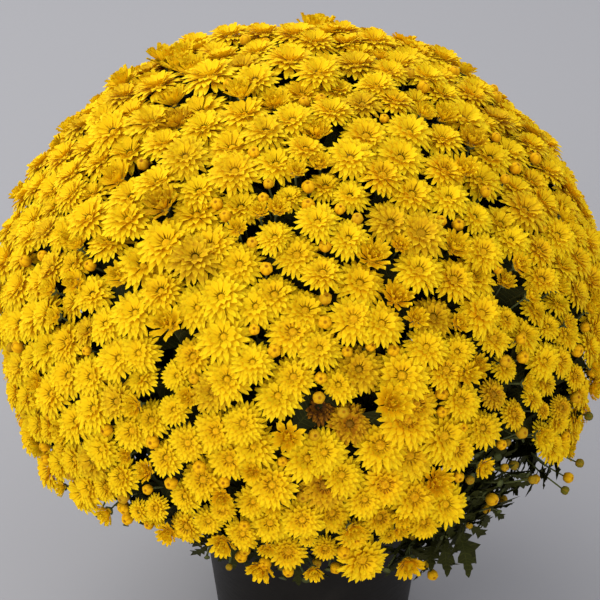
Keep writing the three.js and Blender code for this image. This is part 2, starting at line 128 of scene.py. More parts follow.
def blades(top, thick, mark, pointed=False):
    # Thin closed blades. top is a grid of points (blade, row along, column across). The underside is the
    # same grid moved against the surface's normal by the thickness, and shares its rim with the top. The
    # first row of a pointed blade is its middle point alone. The finishes read how far across a point lies,
    # from -1 to 1, how far along, from 0 to 1, and the blade's mark.
    count, rows, cols = top.shape[:3]
    normal = unit(np.cross(np.gradient(top, axis=1), np.gradient(top, axis=2)))
    number = np.arange(rows * cols).reshape(rows, cols)
    keep = np.ones((rows, cols), bool)
    if pointed:
        number = np.maximum(number - cols + 1, 0)
        keep[0] = np.arange(cols) == cols // 2
    outer = keep.sum()
    under = number.copy()
    under[1:-1, 1:-1] = outer + np.arange((rows - 2) * (cols - 2)).reshape(rows - 2, cols - 2)
    below = top[:, 1:-1, 1:-1] - normal[:, 1:-1, 1:-1] * thick
    points = np.concatenate([top[:, keep], below.reshape(count, -1, 3)], axis=1)
    face = np.stack([number[:-1, :-1], number[1:, :-1], number[1:, 1:], number[:-1, 1:]], -1)
    back = np.stack([under[:-1, :-1], under[:-1, 1:], under[1:, 1:], under[1:, :-1]], -1)
    first = 1 if pointed else 0
    quads = np.concatenate([face[first:].reshape(-1, 4), back[first:].reshape(-1, 4)])
    tris = np.concatenate([face[:first, :, :3].reshape(-1, 3), back[:first, :, 1:].reshape(-1, 3)])
    rim = np.zeros(points.shape[1], bool)
    rim[np.concatenate([number[0], number[-1], number[:, 0], number[:, -1]])] = True
    part = copies(points, quads, tris, rim)
    across, length = np.meshgrid(np.linspace(-1, 1, cols), np.linspace(0, 1, rows))
    grain = np.stack([across, length, 0 * across], -1)
    grain = np.tile(np.concatenate([grain[keep], grain[1:-1, 1:-1].reshape(-1, 3)]), (count, 1, 1))
    grain[..., 2] = np.asarray(mark).reshape(-1, 1)
    part["grain"] = grain.reshape(-1, 3)
    return part


def tubes(path, radius, sides):
    # Closed tubes, which are rings square to the path, with a pole at each end. path is (tube, row, 3) and
    # radius (tube, row).
    count, rows = path.shape[:2]
    forward = unit(np.gradient(path, axis=1))
    chord = unit(path[:, -1] - path[:, 0])
    aside = unit(np.cross(chord, np.where(np.abs(chord[:, 2:]) < 0.8, up, [1.0, 0, 0])))[:, None]
    first = unit(np.cross(aside, forward))
    second = np.cross(forward, first)
    angle = np.linspace(0, 2 * math.pi, sides, endpoint=False)
    ring = first[:, :, None] * np.cos(angle)[:, None] + second[:, :, None] * np.sin(angle)[:, None]
    rings = path[:, :, None] + ring * radius[:, :, None, None]
    points = np.concatenate([rings.reshape(count, -1, 3), path[:, :1], path[:, -1:]], axis=1)
    quads, tris = wrapped(rows, sides)
    return copies(points, quads, tris, np.zeros(points.shape[1], bool))


def wrapped(rows, sides):  # faces of a closed tube of rings, with a pole at each end
    number = np.arange(rows * sides).reshape(rows, sides)
    beside = np.roll(number, -1, axis=1)
    quads = np.stack([number[:-1], beside[:-1], beside[1:], number[1:]], -1).reshape(-1, 4)
    start, end = rows * sides, rows * sides + 1
    foot = np.stack([np.full(sides, start), beside[0], number[0]], -1)
    head = np.stack([number[-1], beside[-1], np.full(sides, end)], -1)
    return quads, np.concatenate([foot, head])


def turned(profile, sectors, flute=0.0, flutes=1):
    # A closed turned body: the profile's radius and height carried round the axis, with flutes pressed in.
    profile = np.asarray(profile, float)
    angle = np.linspace(0, 2 * math.pi, sectors, endpoint=False)
    press = 1 - flute * (0.5 - 0.5 * np.cos(flutes * angle))
    r = profile[1:-1, :1] * press
    rings = np.stack([r * np.cos(angle), r * np.sin(angle), profile[1:-1, 1:] + 0 * angle], -1)
    poles = np.array([[0, 0, profile[0, 1]], [0, 0, profile[-1, 1]]])
    quads, tris = wrapped(len(profile) - 2, sectors)
    share = np.repeat(np.linspace(0, 1, len(profile))[1:-1], sectors)
    return np.concatenate([rings.reshape(-1, 3), poles]), quads, tris, np.concatenate([share, [0, 1]])


def standing(shape, place, frames, size):
    # Copies of a turned body: x, y and z along the frames' three directions, times the size, at the places.
    points, quads, tris, share = shape
    moved = np.einsum("vk,nkc->nvc", points, frames) * np.asarray(size).reshape(-1, 1, 1) + place[:, None]
    part = copies(moved, quads, tris, np.zeros(len(points), bool))
    part["share"] = np.tile(share, len(place))
    return part


def framesOf(axis, turn=0.0):
    # Three square directions for each axis; the third is the axis, and the first two are turned round it.
    side = unit(np.cross(axis, np.where(np.abs(axis[:, :1]) < 0.7, [1.0, 0, 0], [0, 1.0, 0])))
    other = np.cross(axis, side)
    c, s = np.cos(turn)[:, None], np.sin(turn)[:, None]
    return np.stack([side * c + other * s, other * c - side * s, axis], axis=1)


def finished(part, look, grain=None, shade=None):  # a part with its finish and the numbers the finish reads
    size = len(part["points"])
    part["look"] = look
    part["grain"] = part.get("grain", np.zeros((size, 3))) if grain is None else grain
    part["shade"] = np.zeros((size, 3)) if shade is None else shade
    return part


def perPoint(part, rows):  # one row of numbers for each copy, repeated for its points
    rows = np.asarray(rows, float)
    return np.repeat(rows, len(part["points"]) // len(rows), axis=0)


def makePiece(name, parts, slot, *nodes):
    # One object of all the parts, at the origin, in metres, with the finishes in looks that they use.
    starts = np.cumsum([0] + [len(p["points"]) for p in parts])
    points = np.concatenate([p["points"] for p in parts]) * 0.001
    quads = np.concatenate([p["quads"] + s for p, s in zip(parts, starts)])
    tris = np.concatenate([p["tris"] + s for p, s in zip(parts, starts)])
    look = [p["look"] for p in parts]
    used = sorted(set(look))
    which = np.array([used.index(k) for k in look])  # the material slot of each part
    finish = np.concatenate([
        np.repeat(which, [len(p["quads"]) for p in parts]),
        np.repeat(which, [len(p["tris"]) for p in parts]),
    ])
    mesh = bpy.data.meshes.new(name)
    mesh.vertices.add(len(points))
    mesh.vertices.foreach_set("co", points.astype(np.float32).ravel())
    mesh.loops.add(quads.size + tris.size)
    mesh.loops.foreach_set("vertex_index", np.concatenate([quads.ravel(), tris.ravel()]).astype(np.int32))
    mesh.polygons.add(len(quads) + len(tris))
    begin = np.concatenate([np.arange(len(quads)) * 4, quads.size + np.arange(len(tris)) * 3])
    mesh.polygons.foreach_set("loop_start", begin.astype(np.int32))
    mesh.polygons.foreach_set("material_index", finish.astype(np.int32))
    mesh.polygons.foreach_set("use_smooth", np.ones(len(begin), bool))
    mesh.update(calc_edges=True)
    for label in ("grain", "shade"):
        values = np.concatenate([p[label] for p in parts]).astype(np.float32)
        mesh.attributes.new(label, "FLOAT_VECTOR", "POINT").data.foreach_set("vector", values.ravel())
    rim = np.concatenate([p["rim"] for p in parts])
    ends = np.zeros(len(mesh.edges) * 2, np.int32)
    mesh.edges.foreach_get("vertices", ends)
    sharp = rim[ends.reshape(-1, 2)].all(axis=1)
    mesh.attributes.new("sharp_edge", "BOOLEAN", "EDGE").data.foreach_set("value", sharp)
    for k in used:
        mesh.materials.append(looks[k])
    piece = bpy.data.objects.new(name, mesh)
    scene.collection.objects.link(piece)
    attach(piece, "root")
    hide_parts(*nodes)
    return piece


# Finishes. Their tools find the tree they work in from a node or a socket of it.
black, white = (0, 0, 0), (1, 1, 1)


def newFinish(name, roughness, specular):  # a material and its shader
    finish = bpy.data.materials.new(name)
    finish.use_nodes = True
    shader = finish.node_tree.nodes["Principled BSDF"]
    shader.inputs["Roughness"].default_value = roughness
    shader.inputs["Specular IOR Level"].default_value = specular
    return finish, shader


def feed(socket, value):  # value is another node's output, a number, or three numbers
    if isinstance(value, bpy.types.NodeSocket):
        socket.id_data.links.new(value, socket)
    elif socket.type == "RGBA":
        socket.default_value = (*value, 1)
    else:
        socket.default_value = value


def node(beside, kind, inputs=None, **settings):  # a new node in the tree of the one beside it
    made = beside.id_data.nodes.new(kind)
    for key, value in settings.items():
        setattr(made, key, value)
    for key, value in (inputs or {}).items():
        feed(made.inputs[key], value)
    return made


def ramp(factor, stops):  # colours at their positions, blended between
    made = node(factor, "ShaderNodeValToRGB", {0: factor})
    elements = made.color_ramp.elements
    while len(elements) < len(stops):
        elements.new(0.5)
    for element, (position, colour) in zip(elements, stops):
        element.position = position
        element.color = (*colour, 1)
    return made.outputs["Color"]


def blended(factor, first, second):  # from the first colour at 0 to the second at 1
    return node(factor, "ShaderNodeMix", {0: factor, 6: first, 7: second}, data_type="RGBA").outputs[2]


def worked(operation, *values):  # one Math node
    beside = next(value for value in values if isinstance(value, bpy.types.NodeSocket))
    return node(beside, "ShaderNodeMath", dict(enumerate(values)), operation=operation).outputs[0]


def times(*values):  # the product of all the values
    product = values[0]
    for value in values[1:]:
        product = worked("MULTIPLY", product, value)
    return product


def clamped(value):  # kept from 0 to 1
    return node(value, "ShaderNodeClamp", {"Value": value}).outputs[0]


def marksOf(shader, label):  # the three numbers of a point attribute
    read = node(shader, "ShaderNodeAttribute", attribute_name=label)
    return node(read, "ShaderNodeSeparateXYZ", {0: read.outputs["Vector"]}).outputs


def noiseOf(shader, scale, detail=3.0, roughness=0.5, stretch=(1, 1, 1)):  # cloudy noise, from 0 to 1
    place = node(shader, "ShaderNodeTexCoord").outputs["Object"]
    mapped = node(place, "ShaderNodeMapping", {0: place, "Scale": stretch}).outputs[0]
    inputs = {"Vector": mapped, "Scale": scale, "Detail": detail, "Roughness": roughness}
    return node(mapped, "ShaderNodeTexNoise", inputs).outputs[0]


def bumped(shader, height, distance, strength):  # relief from a height, as deep as the distance in metres
    made = node(height, "ShaderNodeBump", {"Height": height, "Distance": distance, "Strength": strength})
    feed(shader.inputs["Normal"], made.outputs[0])


petalLook = {
    "root": (0.80, 0.36, 0.002),
    "middle": (0.87, 0.478, 0.002),
    "tip": (0.89, 0.552, 0.004),
    "edge": (0.88, 0.62, 0.020),
    # painted shade between the inner petals' feet, in brown dashes round the eye
    "dashShade": (0.33, 0.040, 0.002),
    "inner": (0.85, 0.41, 0.002),
    "lemon": (0.90, 0.64, 0.006),
    "tan": (0.42, 0.155, 0.004),
    "old": (0.060, 0.020, 0.007),
    "dashShadeStrength": 1.45,  # how strong the brown dashes of painted shade are by ripeness, up to full strength
    "grooves": 11.0,
    "roughness": 0.75,
    "specular": 0.06,
}


def petalFinish():
    # Orange at the foot and golden to the tip, with paler edges and fine grooves. The inner ones have
    # brown dashes of painted shade on their feet, where shade falls between them round the eye, and old ones
    # turn brown in blotches, least at the tip.
    look = petalLook
    finish, shader = newFinish("yellow petals", look["roughness"], look["specular"])
    across, length, ring = marksOf(shader, "grain")
    tone, age, ripeAndShaded = marksOf(shader, "shade")
    colour = ramp(length, [(0.0, look["root"]), (0.42, look["middle"]), (1.0, look["tip"])])
    colour = blended(ring, colour, look["inner"])
    side = worked("ABSOLUTE", across)
    # painted shade: brown dashes on the inner petals' feet, off the rib, where shade falls between them
    foot = ramp(length, [(0.0, white), (0.26, white), (0.42, black)])
    dashShadeAmount = worked("MINIMUM", times(ripeAndShaded, look["dashShadeStrength"]), 1.0)
    inner = worked("GREATER_THAN", ring, 0.1)
    offRib = ramp(side, [(0.04, black), (0.34, white)])
    colour = blended(times(foot, dashShadeAmount, inner, offRib), colour, look["dashShade"])
    # paler lemon by tone, which is partly random and partly painted light on blooms to the side and high up
    colour = blended(times(tone, 0.75), colour, look["lemon"])
    colour = blended(times(worked("POWER", side, 3.0), length, 0.55), colour, look["edge"])
    blotch = worked("MULTIPLY_ADD", noiseOf(shader, 260.0, 4.0), 0.8, worked("SUBTRACT", age, 0.4))
    wilt = clamped(times(blotch, worked("GREATER_THAN", age, 0.05)))
    wilt = times(wilt, worked("MULTIPLY_ADD", worked("POWER", length, 3.0), -0.45, 1.0))
    early = clamped(times(wilt, 2.0))
    late = clamped(worked("MULTIPLY_ADD", wilt, 2.0, -1.0))
    colour = blended(late, blended(early, colour, look["tan"]), look["old"])
    feed(shader.inputs["Base Color"], colour)
    bumped(shader, worked("SINE", times(across, look["grooves"])), 0.00012, 0.4)
    return finish


eyeLook = {
    "high": (0.90, 0.53, 0.008),
    "low": (0.66, 0.29, 0.002),
    "rim": (0.22, 0.065, 0.002),
    "dimpleShade": (0.50, 0.17, 0.002),
    "young": (0.90, 0.52, 0.004),
    "old": (0.10, 0.030, 0.006),
    "size": 620.0,
}


def eyeFinish():
    # A disc of small golden florets, with brown shadows among them at its rim and a darker dot on top,
    # painted shade of a small hollow. A young one is plain gold, and an old one brown.
    look = eyeLook
    finish, shader = newFinish("eye florets", 0.7, 0.06)
    place = node(shader, "ShaderNodeTexCoord").outputs["Object"]
    cells = node(place, "ShaderNodeTexVoronoi", {"Vector": place, "Scale": look["size"]})
    cells = cells.outputs["Distance"]
    share = marksOf(shader, "grain")[1]
    _, age, ripeAndShaded = marksOf(shader, "shade")
    colour = ramp(cells, [(0.2, look["high"]), (0.8, look["low"])])
    outer = ramp(share, [(0.25, white), (0.5, (0.5, 0.5, 0.5)), (0.7, black)])
    colour = blended(times(outer, worked("GREATER_THAN", cells, 0.36), ripeAndShaded), colour, look["rim"])
    # painted shade: a darker dot at the top, where a small hollow would be
    dot = ramp(share, [(0.84, black), (0.95, white)])
    colour = blended(times(dot, 0.7), colour, look["dimpleShade"])
    colour = blended(worked("MULTIPLY_ADD", ripeAndShaded, -0.8, 0.8), colour, look["young"])
    colour = blended(clamped(times(age, 1.9)), colour, look["old"])
    feed(shader.inputs["Base Color"], colour)
    bumped(shader, worked("SUBTRACT", 1.0, cells), 0.0005, 0.8)
    return finish


budLook = {
    "cup": (0.075, 0.105, 0.018),
    "side": (0.70, 0.34, 0.003),
    "top": (0.90, 0.46, 0.003),
    # painted shade: the dimple and the seams are darkened where shade falls
    "dimpleShade": (0.30, 0.095, 0.003),
    "shadedSeam": (0.50, 0.19, 0.002),
    "green": (0.070, 0.095, 0.012),
}


def budFinish():
    # Green at the cup and golden above it, with painted shade in brown seams between the petals and in a
    # dark dimple on top.
    look = budLook
    finish, shader = newFinish("closed buds", 0.75, 0.05)
    shadedSeam, height, _ = marksOf(shader, "grain")
    tone, _, green = marksOf(shader, "shade")
    stops = [(0.08, "cup"), (0.28, "side"), (0.5, "top"), (0.74, "top"), (0.88, "dimpleShade")]
    colour = ramp(height, [(position, look[name]) for position, name in stops])
    colour = blended(times(green, worked("LESS_THAN", height, 0.86)), colour, look["green"])
    # painted shade in the seams between the folded petals
    line = times(worked("POWER", shadedSeam, 3.0), 0.8, worked("SUBTRACT", 1.0, times(green, 0.6)))
    colour = blended(line, colour, look["shadedSeam"])
    mottle = noiseOf(shader, 500.0, 3.0)
    colour = blended(times(mottle, times(tone, 0.5)), colour, look["side"])
    feed(shader.inputs["Base Color"], colour)
    bumped(shader, worked("SUBTRACT", mottle, shadedSeam), 0.0004, 0.6)
    return finish


# painted shade: these greens are darker than the leaves' own, for the shade deep in the plant
shadedLeafLook = {
    "dark": (0.009, 0.0085, 0.0014),
    "light": (0.034, 0.036, 0.005),
    "vein": (0.058, 0.060, 0.010),
    "under": (0.044, 0.044, 0.012),
    "roughness": 0.66,
    "specular": 0.08,
}


def leafFinish():
    # Clouded dark green, darkened with painted shade of the plant's inside, with a paler rib, a side vein at
    # each lobe and tooth, and a paler back.
    look = shadedLeafLook
    finish, shader = newFinish("leaves", look["roughness"], look["specular"])
    across, length, _ = marksOf(shader, "grain")
    tone = marksOf(shader, "shade")[0]
    cloud = worked("MULTIPLY_ADD", noiseOf(shader, 45.0, 5.0, 0.6), 0.7, times(tone, 0.45))
    colour = blended(cloud, look["dark"], look["light"])
    rib = worked("SMOOTH_MIN", times(worked("ABSOLUTE", across), 14.0), 1.0, 0.3)
    ray = times(worked("ABSOLUTE", worked("SINE", times(length, 40.0))), 2.2)
    vein = worked("MINIMUM", rib, worked("MINIMUM", ray, 1.0))
    colour = blended(worked("MULTIPLY_ADD", vein, -0.55, 0.55), colour, look["vein"])
    back = node(shader, "ShaderNodeNewGeometry").outputs["Backfacing"]
    feed(shader.inputs["Base Color"], blended(back, colour, look["under"]))
    bumped(shader, worked("MULTIPLY_ADD", noiseOf(shader, 900.0, 2.0), 0.35, vein), 0.0004, 0.7)
    return finish


stemLook = {"young": (0.095, 0.105, 0.028), "old": (0.085, 0.062, 0.028), "streak": (0.022, 0.026, 0.008)}


def stemFinish():  # green, browner where it is woody, with dark streaks up it
    look = stemLook
    finish, shader = newFinish("green stems", 0.6, 0.12)
    wood = marksOf(shader, "shade")[0]
    streak = noiseOf(shader, 300.0, 4.0, 0.6, (1, 1, 0.15))
    colour = blended(wood, look["young"], look["old"])
    feed(shader.inputs["Base Color"], blended(times(streak, 0.5), colour, look["streak"]))
    bumped(shader, streak, 0.0004, 0.6)
    return finish


potLook = {"plastic": (0.0052, 0.0038, 0.0026), "dust": (0.030, 0.024, 0.018)}


def potFinish():  # black, duller where dust lies, with scuffs round it
    look = potLook
    finish, shader = newFinish("black nursery plastic", 0.5, 0.2)
    cloud = noiseOf(shader, 14.0, 6.0, 0.65)
    speck = noiseOf(shader, 420.0, 3.0, 0.7)
    scuff = noiseOf(shader, 60.0, 5.0, 0.7, (1, 1, 6))
    dusty = times(worked("SMOOTH_MAX", worked("SUBTRACT", cloud, 0.5), 0.0, 0.1), 2.0, speck)
    feed(shader.inputs["Base Color"], blended(dusty, look["plastic"], look["dust"]))
    dull = worked("ADD", worked("MULTIPLY_ADD", scuff, 0.3, 0.34), times(dusty, 0.5))
    feed(shader.inputs["Roughness"], dull)
    bumped(shader, worked("MULTIPLY_ADD", speck, 0.4, scuff), 0.0002, 0.5)
    return finish


mixLook = {"peat": (0.018, 0.011, 0.007), "crumb": (0.060, 0.036, 0.020), "bark": (0.085, 0.045, 0.022)}


def mixFinish():  # dark peat with paler crumbs, and chips of bark
    look = mixLook
    finish, shader = newFinish("potting mix", 0.95, 0.15)
    coarse = noiseOf(shader, 120.0, 8.0, 0.7)
    fine = noiseOf(shader, 700.0, 4.0, 0.7)
    barky = marksOf(shader, "shade")[0]
    colour = ramp(coarse, [(0.35, look["peat"]), (0.7, look["crumb"])])
    colour = blended(barky, colour, look["bark"])
    feed(shader.inputs["Base Color"], blended(times(fine, 0.6), colour, look["peat"]))
    bumped(shader, worked("ADD", coarse, fine), 0.0012, 0.9)
    return finish


looks = [petalFinish(), eyeFinish(), budFinish(), leafFinish(), stemFinish(), potFinish(), mixFinish()]
petalsAre, eyeIs, budIs, leafIs, stemIs, potIs, mixIs = range(len(looks))
print("finishes made:", len(looks))

# Where the blooms sit and how the stems run
canopy = {"middle": (-13.0, 0.0, 400.0), "radius": 288.0, "rise": 256.0, "drop": 280.0}
seatRule = {
    "lattice": 672, "highest": 0.999, "lowest": -0.44,
    "edge": -0.33, "lobe": 0.06, "lobes": 5, "lobeTurn": -1.48,
    "gap": 0.3, "gapTurn": -0.9, "gapWidth": 0.3,
    "wander": 7.5, "ripple": 6.5, "tilt": 0.16, "lookUp": 0.55,
    "smallest": 19.0, "largest": 24.0, "halfOpen": 0.1, "halfOpenRadius": 13.5,
}
stemRule = {
    "count": 24, "firstTurn": 0.4, "apex": (0.0, 0.0, 112.0), "below": 0.02,
    "flattest": 0.5, "upright": 1.2, "depth": 26.0, "mixTop": 162.0,
    "straight": 0.2, "soft": 0.2, "bend": 0.55, "lift": 0.12, "reach": 0.8, "bareReach": 0.93,
    "foot": 3.4, "top": 2.2, "sides": 8, "rows": 33,
}


def canopyAt(sine, turn):
    # The radius times the cosine of the latitude round the middle, and the rise or the drop times its sine
    # up. The normal is the place over the squares of the half axes.
    tall = np.where(sine > 0, canopy["rise"], canopy["drop"])
    flat = canopy["radius"] * np.sqrt(1 - sine**2)
    place = np.stack([flat * np.cos(turn), flat * np.sin(turn), tall * sine], -1)
    wide = np.full_like(tall, canopy["radius"])
    return place + canopy["middle"], unit(place / np.stack([wide, wide, tall], -1) ** 2)


def leafyGap(turn):  # how far the blooms stop short where the leaves show
    off = turn - seatRule["gapTurn"]
    aside = np.arctan2(np.sin(off), np.cos(off))
    return seatRule["gap"] * np.exp(-((aside / seatRule["gapWidth"]) ** 2))


def lowerEdge(turn):  # where the blooms end: lobes all round, and the leafy gap
    lobes = seatRule["lobe"] * np.cos(seatRule["lobes"] * (turn - seatRule["lobeTurn"]))
    return seatRule["edge"] - lobes + leafyGap(turn)


def bloomSeats():
    # Golden-angle seats, each drawn a little aside, turned up towards the light and a little at random.
    rule = seatRule
    i = np.arange(rule["lattice"])
    even = 1 - (i + 0.5) * (1 - rule["lowest"]) / rule["lattice"]
    cosine = np.sqrt(1 - even**2)
    sine = even + rule["wander"] / canopy["rise"] * cosine * spread(i, 1)
    turn = i * goldenAngle + rule["wander"] / canopy["radius"] * spread(i, 2) / cosine
    keep = (sine <= rule["highest"]) & (sine >= lowerEdge(turn))
    i, sine, turn = i[keep], sine[keep], turn[keep]
    place, outward = canopyAt(sine, turn)
    axis = leaning(outward, rule, i, 3)
    place = place + outward * (rule["ripple"] * spread(i, 6))[:, None]
    isOpen = draw(i, 7) > rule["halfOpen"]
    radius = np.where(isOpen, mixed(rule["smallest"], rule["largest"], draw(i, 8)), rule["halfOpenRadius"])
    return {"index": i, "place": place, "axis": axis, "outward": outward, "open": isOpen, "radius": radius}


def cubic(start, first, second, end, rows):
    # Points on cubic curves, one curve for each row of the four: their sum in Bernstein's shares.
    t = np.linspace(0, 1, rows)[:, None]
    pull = [(1 - t) ** 3, 3 * (1 - t) ** 2 * t, 3 * (1 - t) * t**2, t**3]
    return sum(point[:, None] * share for point, share in zip((start, first, second, end), pull))


def stemLines():
    # Each stem rises straight from the mix and then bends on a cubic curve to its place under the canopy.
    rule = stemRule
    i = np.arange(rule["count"])
    lowest = seatRule["edge"] - rule["below"]
    sine = 1 - (1 - lowest) * (i + 0.5) / rule["count"]
    turn = i * goldenAngle + rule["firstTurn"]
    goal, _ = canopyAt(sine, turn)
    apex = np.array(rule["apex"])
    length = np.linalg.norm(goal - apex, axis=1)[:, None]
    heading = unit(goal - apex)
    upright = unit(heading + rule["upright"] * up)
    mouth = apex + heading * (rule["mixTop"] - apex[2]) / np.maximum(heading[:, 2:], rule["flattest"])
    mouth[:, 2] = rule["mixTop"]
    foot = mouth - upright * rule["depth"]
    knee = foot + upright * rule["straight"] * length
    above = knee + upright * rule["soft"] * length
    bare = (sine < lowerEdge(turn))[:, None]
    end = apex + (goal - apex) * np.where(bare, rule["bareReach"], rule["reach"])
    bend = apex + heading * rule["bend"] * length
    bend[:, 2:] += rule["lift"] * length * (1 - heading[:, 2:])
    rise = foot[:, None] + (knee - foot)[:, None] * np.linspace(0, 0.9, 10)[:, None]
    curve = np.concatenate([rise, cubic(knee, above, bend, end, 60)], axis=1)
    lines = np.zeros((rule["count"], rule["rows"], 3))
    for k, points in enumerate(curve):  # even steps along each stem
        pieces = np.linalg.norm(np.diff(points, axis=0), axis=1)
        run = np.concatenate([[0], np.cumsum(pieces)])
        even = np.linspace(0, run[-1], rule["rows"])
        lines[k] = np.stack([np.interp(even, run, points[:, c]) for c in range(3)], -1)
    return lines, heading


seats = bloomSeats()
stems, headings = stemLines()


def stemOf(place):  # the stem that heads nearest to each place
    return np.argmax(unit(place - stemRule["apex"]) @ headings.T, axis=1)


seats["stem"] = stemOf(seats["place"])
print("seats:", len(seats["index"]), "stems:", len(stems))

# Camera, floor and light
view = {"target": (-0.014, 0.0, 0.4), "rise": 35.0, "distance": 2.2, "lens": 134.3, "lower": 0.003}


def setCamera():  # in front, tilted down at the middle of the plant
    tilt = math.radians(view["rise"])
    back = Vector((0, -math.cos(tilt), math.sin(tilt)))
    aim = Vector(view["target"]) + Vector((0, math.sin(tilt), math.cos(tilt))) * view["lower"]
    camera = bpy.data.objects.new("camera", bpy.data.cameras.new("camera"))
    camera.data.lens = view["lens"]
    camera.data.sensor_width = 36
    camera.location = aim + back * view["distance"]
    camera.rotation_euler = (-back).to_track_quat("-Z", "Y").to_euler()
    camera.data.clip_start, camera.data.clip_end = 0.05, 60
    scene.collection.objects.link(camera)
    scene.camera = camera


studio = {
    "floor": (0.340, 0.319, 0.326), "floorRadius": 30.0, "floorSides": 96,
    "sky": (0.86, 0.93, 1.0), "skyPower": 0.95,
    "aim": (0.0, 0.0, 0.35),
    "lamps": [  # place, width, height, power, colour
        ((-2.2, -1.6, 2.1), 1.7, 1.7, 38, (0.975, 1.0, 0.95)),
        ((0.5, -2.4, 0.62), 2.0, 0.6, 16.4, (1.0, 0.95, 0.90)),
        ((-0.9, 1.3, 2.6), 1.6, 1.6, 37, (0.96, 1.0, 1.0)),
    ],
}


def setStudio():  # a pale sky, area lamps that face one point, and the floor
    world = bpy.data.worlds.new("sky")
    world.use_nodes = True
    sky = world.node_tree.nodes["Background"]
    sky.inputs["Color"].default_value = (*studio["sky"], 1)
    sky.inputs["Strength"].default_value = studio["skyPower"]
    scene.world = world
    for k, (place, width, height, power, colour) in enumerate(studio["lamps"]):
        lamp = bpy.data.objects.new("lamp%d" % k, bpy.data.lights.new("lamp%d" % k, "AREA"))
        lamp.data.shape = "RECTANGLE"
        lamp.data.size, lamp.data.size_y = width, height
        lamp.data.energy, lamp.data.color = power, colour
        lamp.location = place
        lamp.rotation_euler = (Vector(studio["aim"]) - Vector(place)).to_track_quat("-Z", "Y").to_euler()
        scene.collection.objects.link(lamp)
    mesh = bpy.data.meshes.new("floor")  # a disc, so that its far edge is level from every side
    angle = np.linspace(0, 2 * math.pi, studio["floorSides"], endpoint=False)
    ring = np.stack([np.cos(angle), np.sin(angle), 0 * angle], -1) * studio["floorRadius"]
    mesh.from_pydata(ring.tolist(), [], [list(range(len(ring)))])
    floor = bpy.data.objects.new("floor", mesh)
    finish, shader = newFinish("pale floor", 0.9, 0.1)
    shader.inputs["Base Color"].default_value = (*studio["floor"], 1)
    mesh.materials.append(finish)
    scene.collection.objects.link(floor)
    floor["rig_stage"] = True


setCamera()
setStudio()
print("camera, floor and lamps set")

# Blooms
bloomShape = {
    "rings": [  # petals, length, foot radius, foot height, rise, bend (degrees), half width, cup, orange
        (24, 0.90, 0.13, 0.2, 11, -32, 0.099, 0.16, 0.00),
        (22, 0.77, 0.13, 1.0, 22, -30, 0.104, 0.16, 0.05),
        (16, 0.59, 0.15, 1.8, 35, -28, 0.118, 0.20, 0.12),
        (12, 0.42, 0.19, 2.2, 48, -16, 0.116, 0.28, 0.35),
    ],
    "halfOpen": [
        (13, 1.22, 0.10, 0.0, 36, 8, 0.185, 0.25, 0.00),
        (10, 1.00, 0.08, 0.6, 54, 16, 0.185, 0.35, 0.05),
        (6, 0.84, 0.05, 1.0, 74, 38, 0.180, 0.45, 0.12),
    ],
    "closest": 0.5,  # the feet's radius in the youngest blooms, as a share of the ripe ones'
    "stations": [0, 0.68, 1],  # where a petal's rows lie along it
    "width": [(0, 0.42), (0.68, 1.0), (1, 0.64)],
    "steps": 13,  # steps of the sum along a petal
    "thick": 0.4,
    "point": 0.11,  # how far the corners of a petal's tip stay back, over its length
    "sway": 0.08,  # how far the tip bends aside, over the length
    "turnDraw": 0.2, "lengthDraw": 0.06, "riseDraw": 5.0, "bendDraw": 9.0,
    "nod": 0.13,  # how far a bloom turns away from its seat's axis
    "neighbours": 14,  # how many blooms round it may hold a petal back
    "overlap": 7.0,  # how far a petal may pass the plane halfway to the next bloom
    "more": 42.0,  # how much further in larger blooms
    "overlaps": (2, 16),  # the least and the most of it
    "larger": 1.06,  # the blooms' size over their seats'
    "crowding": 0.33, "waveSize": 150, "waveSalt": 756,  # and how it varies in waves
    "drifts": [  # where blooms are larger or smaller: turn in degrees, height, width, by how much
        (118, 640, 170, 0.16), (-140, 625, 110, 0.14), (-59, 590, 80, 0.10), (-74, 642, 24, 0.14),
        (-69, 578, 26, 0.20), (-119, 522, 30, 0.24), (-131, 596, 26, 0.10), (-76, 476, 26, 0.22),
        (-87, 492, 32, -0.15), (-29, 440, 85, -0.22), (-121, 420, 60, -0.12), (-32, 492, 26, -0.36),
        (-49, 466, 28, -0.36), (-45, 418, 32, -0.42), (-43, 532, 28, -0.15), (-42, 591, 28, -0.22),
        (-38, 468, 22, 0.20), (-52, 434, 22, 0.20), (-58, 449, 16, -0.25), (-44, 514, 22, -0.20),
        (-38, 393, 32, -0.26), (-33, 416, 24, -0.20), (-20, 420, 26, 0.18), (-61, 608, 26, -0.25),
        (-95, 613, 30, -0.32), (-78, 632, 22, -0.20), (-52, 650, 26, -0.28), (0, 641, 30, -0.25),
        (-112, 489, 26, -0.28), (-116, 377, 45, -0.26), (-120, 330, 42, -0.42), (-136, 500, 24, -0.25),
        (-147, 516, 24, -0.20), (-102, 358, 24, -0.38), (-74, 340, 30, -0.42), (-88, 340, 22, -0.45),
        (-66, 348, 26, -0.20), (-95, 332, 22, 0.20), (-80, 314, 26, 0.18), (-86, 328, 17, -0.40),
        (-71, 325, 26, -0.30), (-89, 298, 24, -0.30),
    ],
}
# ripeness, and with it painted light and shade: it is lower to the side and high up, where the petals are
# painted paler lemon as if lit, and the painted dashes are weaker
ripeAndShadeRule = {
    "most": 0.92, "least": 0.05, "drawn": 0.36,
    "middle": 60, "aside": 420, "level": 400, "above": 330,
}
oldBlooms = {
    "spots": [  # place, age, size, how far it hangs back
        ((2.0, -269.0, 474.0), 0.95, 0.86, 11.0),
        ((30.0, -271.0, 460.0), 0.42, 0.92, 5.0),
    ],
    "others": 0.3,  # how old the others may be
}


